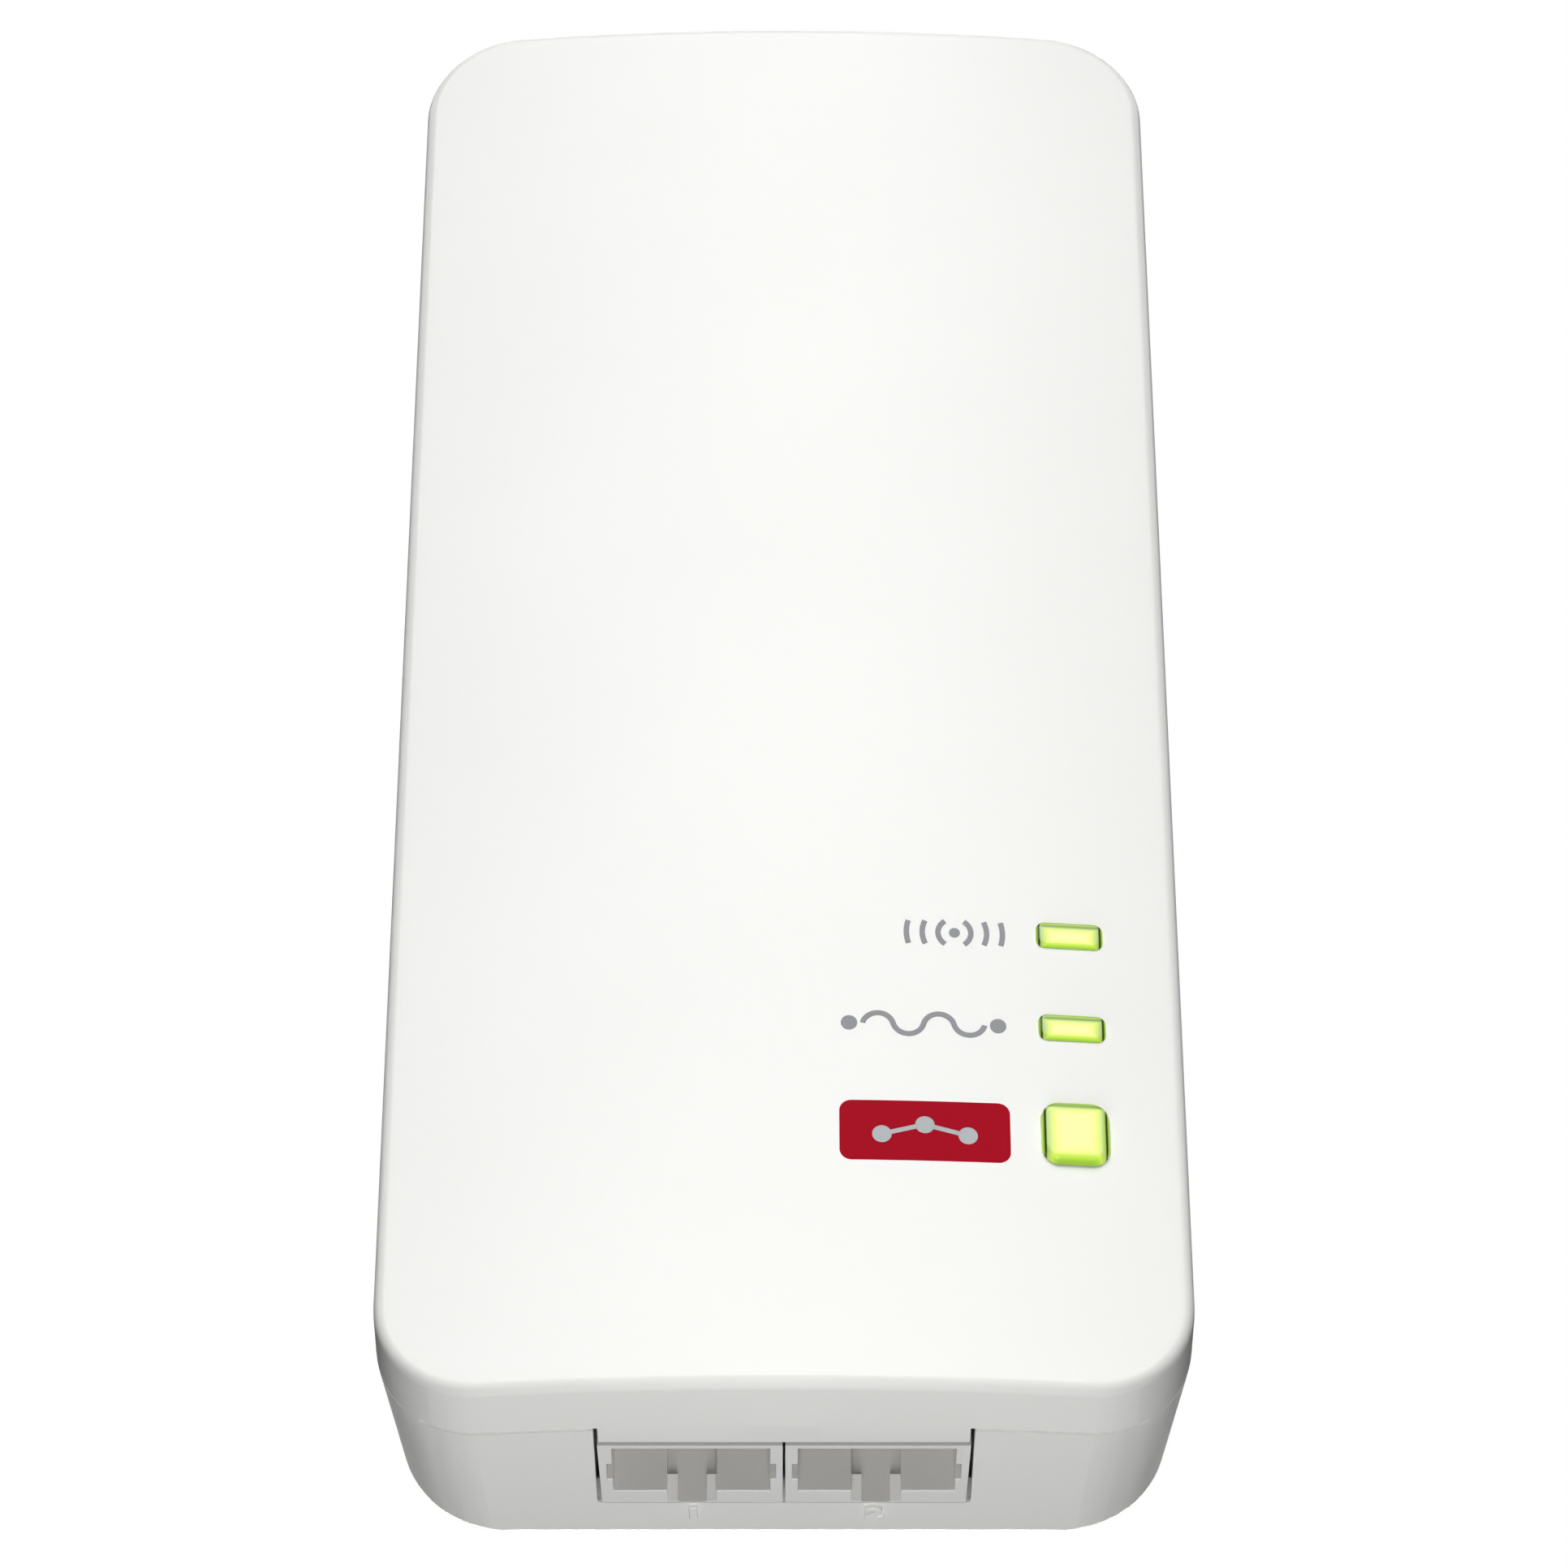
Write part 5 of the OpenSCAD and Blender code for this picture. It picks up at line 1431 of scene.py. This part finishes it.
@dataclass
class Prints:
    """Marks that lie on the crowned front.

    Attributes:
        housing: Driving sizes.
        line: Width of the curved lines.
        film: How far the ink stands out on the front.
        badge_film: How far the badge's mark stands out.
        thick: Thickness of a mark, most of it inside the cover.
        step: Widest column of a mark before it is laid on the crown.
        dot: Radius of the dot between the waves.
        waves, wave_half: Radii of the waves, and half their height.
        swing: Radius of the curves between the two dots, and their half angle in degrees.
        end_dot: Radius of the two dots, and their distance from the middle.
        field_size: Width, height and corner radius of the badge.
        field_base, field_edge: Depth of its body, and inset and height of its bevel.
        links: x and z of the badge's dots.
        link: Radius of the badge's dots, and width of the lines between them.
        link_line: x and z of the ends of the right one of the two lines.
    """

    housing: Housing
    line: float = 0.42
    film: float = 0.03
    badge_film: float = 0.05
    thick: float = 0.1
    step: float = 0.3
    dot: float = 0.42
    waves: tuple[float, ...] = (1.25, 2.45, 3.65)
    wave_half: float = 1.02
    swing: tuple[float, float] = (1.18, 76.0)
    end_dot: tuple[float, float] = (0.62, 5.6)
    field_size: tuple[float, float, float] = (12.7, 5.12, 0.9)
    field_base: float = 0.08
    field_edge: tuple[float, float] = (0.03, 0.02)
    links: tuple[tuple[float, float], ...] = ((-3.2, -0.35), (0.0, 0.5), (3.2, -0.35))
    link: tuple[float, float] = (0.72, 0.36)
    link_line: tuple[tuple[float, float], ...] = ((0.55, 0.36), (2.65, -0.2))

    def disc(self, x: float, z: float, radius: float, film: float) -> Workpiece:
        """Makes a round dot that stands out by the film's thickness."""
        y = self.housing.crest_y - film
        return Workpiece.rod("dot", (x, y + self.thick, z), (x, y, z), radius, 40)

    def arc(self, x: float, z: float, radius: float, start: float, sweep: float) -> Workpiece:
        """Makes a curved line by spinning its cross-section.

        Args:
            x: Centre of the arc.
            z: Centre of the arc.
            radius: Radius of the line's middle.
            start: Where it starts, in degrees from +X towards +Z.
            sweep: How far it runs, in degrees.

        Returns:
            The line.
        """
        clear_selection()
        y = self.housing.crest_y - self.film
        turn = math.radians(start)
        middle = Vector((x + radius * math.cos(turn), y + self.thick / 2, z + radius * math.sin(turn)))
        bpy.ops.mesh.primitive_plane_add(size=1, location=middle * MM, rotation=(0, -turn, 0))
        bpy.context.object.scale = (self.line * MM, self.thick * MM, 1)
        with Workpiece("line") as line:
            bpy.ops.mesh.select_all(action="SELECT")
            bpy.ops.mesh.spin(steps=max(6, round(abs(sweep) / 7)), angle=math.radians(sweep),
                              center=(x * MM, y * MM, z * MM), axis=(0, 1, 0))
            if any(e.is_boundary for e in bmesh.from_edit_mesh(line.obj.data).edges):
                line.close()
            line.face_outwards()
        return line

    def bar(self, start: Place, end: Place, width: float) -> Workpiece:
        """Makes a straight line between two places in x and z, for the badge."""
        clear_selection()
        across, along = end[0] - start[0], end[1] - start[1]
        y = self.housing.crest_y - self.badge_film + self.thick / 2
        middle = Vector(((start[0] + end[0]) / 2, y, (start[1] + end[1]) / 2))
        bpy.ops.mesh.primitive_cube_add(
            size=1, location=middle * MM, rotation=(0, -math.atan2(along, across), 0),
            scale=(math.hypot(across, along) * MM, self.thick * MM, width * MM))
        return Workpiece("bar")

    def lay(self, name: str, parts: Sequence[Workpiece]) -> Workpiece:
        """Joins the parts and lays them on the crowned front."""
        first, *rest = parts
        mark = first.join(*rest) if rest else first
        mark.obj.name = mark.obj.data.name = name
        xs = [v.co.x / MM for v in mark.obj.data.vertices]
        low, high = min(xs), max(xs)
        with mark:
            mark.slice(0, spread(low, high, max(2, int((high - low) / self.step))))
            mark.follow_crown(self.housing)
        return mark.smooth(50)

    def radio_mark(self, at: Vector) -> Workpiece:
        """Makes a dot between spreading waves."""
        parts = [self.disc(at.x, at.z, self.dot, self.film)]
        for radius in self.waves:
            half = math.degrees(math.asin(min(1, self.wave_half / radius)))
            for middle in (0, 180):
                parts.append(self.arc(at.x, at.z, radius, middle - half, 2 * half))
        return self.lay("wlan_mark", parts)

    def line_mark(self, at: Vector) -> Workpiece:
        """Makes a wave between two dots."""
        radius, slope = self.swing
        rise = radius * math.cos(math.radians(slope))
        run = 2 * radius * math.sin(math.radians(slope))
        dot, aside = self.end_dot
        parts = [self.disc(at.x + s * aside, at.z, dot, self.film) for s in (-1, 1)]
        for i, up in enumerate((1, -1, 1, -1)):
            x, z = at.x + (i - 1.5) * run, at.z - up * rise
            parts.append(self.arc(x, z, radius, up * 90 - slope, 2 * slope))
        return self.lay("powerline_mark", parts)

    def badge(self, at: Vector) -> Workpiece:
        """Makes the rounded field below the windows."""
        width, height, corner = self.field_size
        y = self.housing.crest_y + self.field_base
        with Workpiece.sheet("badge", (at.x, y, at.z), width, height) as plate:
            plate.round_corners(corner, 8)
            plate.step(SHEER, self.field_base)
            plate.step(*self.field_edge)
            plate.close()
        return self.lay("badge", [plate])

    def link_mark(self, at: Vector) -> Workpiece:
        """Makes three linked dots for the badge."""
        dot, width = self.link
        parts = [self.disc(at.x + x, at.z + z, dot, self.badge_film) for x, z in self.links]
        for s in (-1, 1):
            ends = [(at.x + s * x, at.z + z) for x, z in self.link_line]
            parts.append(self.bar(*ends, width))
        return self.lay("badge_mark", parts)


@dataclass
class Numeral:
    """A figure embossed in the lower end, read from the front.

    Attributes:
        figure: What it says.
        height: Its height.
        relief: How far it stands out.
        chamfer: Bevel of its edges.
        type_size: Size of the type for a figure of height 1.
        fatten: How much the strokes are widened.
    """

    figure: str
    height: float = 1.85
    relief: float = 0.36
    chamfer: float = 0.17
    type_size: float = 1.38
    fatten: float = 0.03

    def build(self, at: Vector, normal: Vector, eye: Vector) -> Workpiece:
        """Makes the figure on a surface.

        Args:
            at: Its middle.
            normal: The surface's normal there.
            eye: Where it is seen from, so that its raised face stands in the line of sight.

        Returns:
            The figure.
        """
        clear_selection()
        sight = eye - at
        at = at + sight * (self.relief / sight.dot(normal)) - normal * self.relief
        across = Vector((1, 0, 0))
        up = normal.cross(across).normalized()
        bpy.ops.object.text_add(rotation=Matrix((across, up, normal)).transposed().to_euler())
        text = bpy.context.object
        text.data.body = self.figure
        text.data.size = self.height * self.type_size * MM
        text.data.align_x = "CENTER"
        text.data.align_y = "CENTER"
        text.data.extrude = (self.relief - self.chamfer) * MM
        text.data.offset = self.fatten * MM
        text.data.bevel_depth = self.chamfer * MM
        text.data.bevel_resolution = 2
        text.location = at * MM
        bpy.ops.object.convert(target="MESH")
        figure = Workpiece(f"numeral_{self.figure}")
        heights = [v.co.dot(up) for v in figure.obj.data.vertices]
        off = at.dot(up) * MM - (min(heights) + max(heights)) / 2
        with figure:
            bpy.ops.mesh.select_all(action="SELECT")
            bpy.ops.transform.translate(value=up * off)
        return figure.smooth(40)


# ---- Studio ----


@dataclass(frozen=True)
class Lamp:
    """A soft rectangular lamp that looks at the housing's middle.

    Attributes:
        name: Name of the lamp.
        place: Its middle, in metres.
        size: Its width and height, in metres.
        watts: Its power.
        spread: How wide its light fans out, in degrees.
        aim: Where it looks, in metres.
    """

    name: str
    place: tuple[float, float, float]
    size: tuple[float, float]
    watts: float
    spread: float = 180.0
    aim: tuple[float, float, float] = (0.0, -0.03, -0.02)

    def hang(self) -> bpy.types.Object:
        """Makes the lamp."""
        data = bpy.data.lights.new(self.name, "AREA")
        data.shape = "RECTANGLE"
        data.size, data.size_y = self.size
        data.energy = self.watts
        data.spread = math.radians(self.spread)
        lamp = bpy.data.objects.new(self.name, data)
        lamp.location = self.place
        lamp.visible_camera = False
        way = Vector(self.aim) - Vector(self.place)
        lamp.rotation_euler = way.to_track_quat("-Z", "Y").to_euler()
        bpy.context.scene.collection.objects.link(lamp)
        return lamp


@dataclass(frozen=True)
class Studio:
    """Pale floor, white surroundings and soft lamps.

    Attributes:
        floor_z: Height of the floor, in metres.
        floor_glow: How bright the camera sees the floor, beyond what it reflects.
        ambient: Strength of the surroundings as a lamp.
        lamps: The lamps.
    """

    floor_z: float = -0.33
    floor_glow: float = 0.82
    ambient: float = 0.025
    lamps: tuple[Lamp, ...] = (
        Lamp("front", (0, -0.6, 0.48), (0.65, 0.5), 1.02, 50.0),
        Lamp("below", (0, -0.1, -0.21), (0.03, 0.2), 0.145),
        Lamp("behind", (0, 0.85, 0.22), (0.5, 0.4), 0.54, 30.0),
        Lamp("right", (0.8, 0.1, 0.8), (0.4, 0.4), 0.06, 30.0),
        Lamp("left", (-0.8, 0.1, 0.8), (0.4, 0.4), 0.06, 30.0),
    )

    def build(self) -> None:
        """Sets up the floor, the world and the lamps."""
        clear_selection()
        bpy.ops.mesh.primitive_plane_add(size=6, location=(0, 0, self.floor_z))
        floor = bpy.context.object
        floor.name = "floor"
        s = Shades("pale floor")
        grey = s.ramp(s.noise(s.place(), 3, 2), [(0.3, (0.49, 0.49, 0.49)), (0.7, (0.51, 0.51, 0.51))])
        seen = s.add("LightPath").outputs["Is Camera Ray"]
        s.set(Base_Color=grey, Roughness=0.8, Emission_Color=(1.0, 1.0, 1.0),
              Emission_Strength=s.maths("MULTIPLY", seen, self.floor_glow))
        dress(floor, s.material)
        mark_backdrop(floor, *(lamp.hang() for lamp in self.lamps))
        self.surround()
        bpy.context.scene.view_settings.view_transform = "Standard"

    def surround(self) -> None:
        """Makes the world white where the camera sees it, and dim as a lamp."""
        world = bpy.data.worlds.new("surroundings")
        bpy.context.scene.world = world
        world.use_nodes = True
        nodes, links = world.node_tree.nodes, world.node_tree.links
        nodes.clear()
        path = nodes.new("ShaderNodeLightPath")
        mix = nodes.new("ShaderNodeMixShader")
        dim, white = nodes.new("ShaderNodeBackground"), nodes.new("ShaderNodeBackground")
        dim.inputs["Strength"].default_value = self.ambient
        for background in (dim, white):
            background.inputs["Color"].default_value = (1, 1, 1, 1)
        links.new(path.outputs["Is Camera Ray"], mix.inputs["Fac"])
        links.new(dim.outputs["Background"], mix.inputs[1])
        links.new(white.outputs["Background"], mix.inputs[2])
        links.new(mix.outputs["Shader"], nodes.new("ShaderNodeOutputWorld").inputs["Surface"])


# ---- Assembly ----


def dress_insides() -> None:
    """Gives every carried-over CAD node the finish of its slot in the record."""
    finished: dict[str, bpy.types.Material] = {}
    for part in frame["record"]["subparts"]:
        slot, node = part["material_slot"], frame["nodes"][part["node"]]
        if slot in INSIDE:
            finished.setdefault(slot, INSIDE[slot].material())
            dress(node, finished[slot])
    log.info("inner nodes dressed in %d finishes", len(finished))


def build_controls(housing: Housing) -> list[tuple[Control, LitGuide, str]]:
    """Gives the two windows and the button with their finishes and bodies."""
    low, high = box_mm("wlan_light_guide")
    x = (low.x + high.x) / 2
    window = {"width": 5.1, "height": 2.2, "proud": 0.3, "corner": 0.68, "edge": 0.3}
    button = {"width": 5.05, "height": 5.0, "proud": 0.68, "corner": 1.3, "edge": 0.45,
              "base": -38.0, "gap": 0.06}
    result = []
    # The fourth column is how far each piece's lower band of painted light spreads.
    for node, sizes, raised, foot, body in (("wlan_light_guide", window, 0.2, 1.0, "housing"),
                                            ("powerline_light_guide", window, 0.2, 1.0, "housing"),
                                            ("connect_button", button, 0.36, 1.6, "button")):
        low, high = box_mm(node)
        control = Control(housing, node, (x, (low.z + high.z) / 2 + raised), **sizes)
        result.append((control, control.lit(foot), body))
    return result


def main() -> None:
    """Builds, dresses and reports every piece, then sets up the studio."""
    logging.basicConfig(level=logging.INFO, format="%(name)s: %(message)s", stream=sys.stdout)
    housing, picture = Housing(), Picture()
    picture.camera()
    shown: dict[str, bpy.types.Object] = {}

    controls = build_controls(housing)
    cover = FrontCover(housing).build([control.hole() for control, _, _ in controls])
    cover_obj = settle(cover, HOUSING_WHITE, "housing_white", "front_cover")
    for (control, finish, body), point in zip(controls, ("wlan_window", "powerline_window", "button")):
        shown[point] = settle(control.build(), finish, "lit_guide", control.name, body=body)

    plug, rear = Plug(housing), RearHousing(housing)
    shell = settle(rear.build(plug.housing_hole()), HOUSING_WHITE, "housing_white", "rear_housing")
    settle(plug.body(), HOUSING_WHITE, "housing_white", "plug_body")
    settle(plug.plate(), CARRIER_GREY, "carrier_grey", "pin_carrier")
    for name, side in (("line_pin", -1), ("neutral_pin", 1)):
        settle(plug.pin(name, side), PIN_NICKEL, "pin_nickel", name)
    settle(HousingScrews(rear.boss_places()).build(), SCREW_ZINC, "screw_zinc", "housing_screws")
    for number, side in ((1, -1), (2, 1)):
        node = f"lan_jack_{number}"
        socket = Socket8(node, side).build()
        shown[f"socket_{number}"] = settle(socket, SOCKET_GREY, "socket_grey", node)

    prints = Prints(housing)
    for name, make, ink in (("wlan_mark", prints.radio_mark, Ink.GREY),
                            ("powerline_mark", prints.line_mark, Ink.GREY),
                            ("badge", prints.badge, Ink.RED)):
        at, _ = picture.find(name, cover_obj)
        shown[name] = settle(make(at), ink.finish(), "housing_white")
    settle(prints.link_mark(picture.find("badge", cover_obj)[0]), Ink.SILVER.finish(), "housing_white")
    for name in ("numeral_1", "numeral_2"):
        at, normal = picture.find(name, shell)
        figure = Numeral(name[-1]).build(at, normal, picture.place)
        shown[name] = settle(figure, HOUSING_WHITE, "housing_white")

    dress_insides()
    Studio().build()
    picture.report(shown, (cover_obj, shell))


if __name__ == "__main__":
    main()
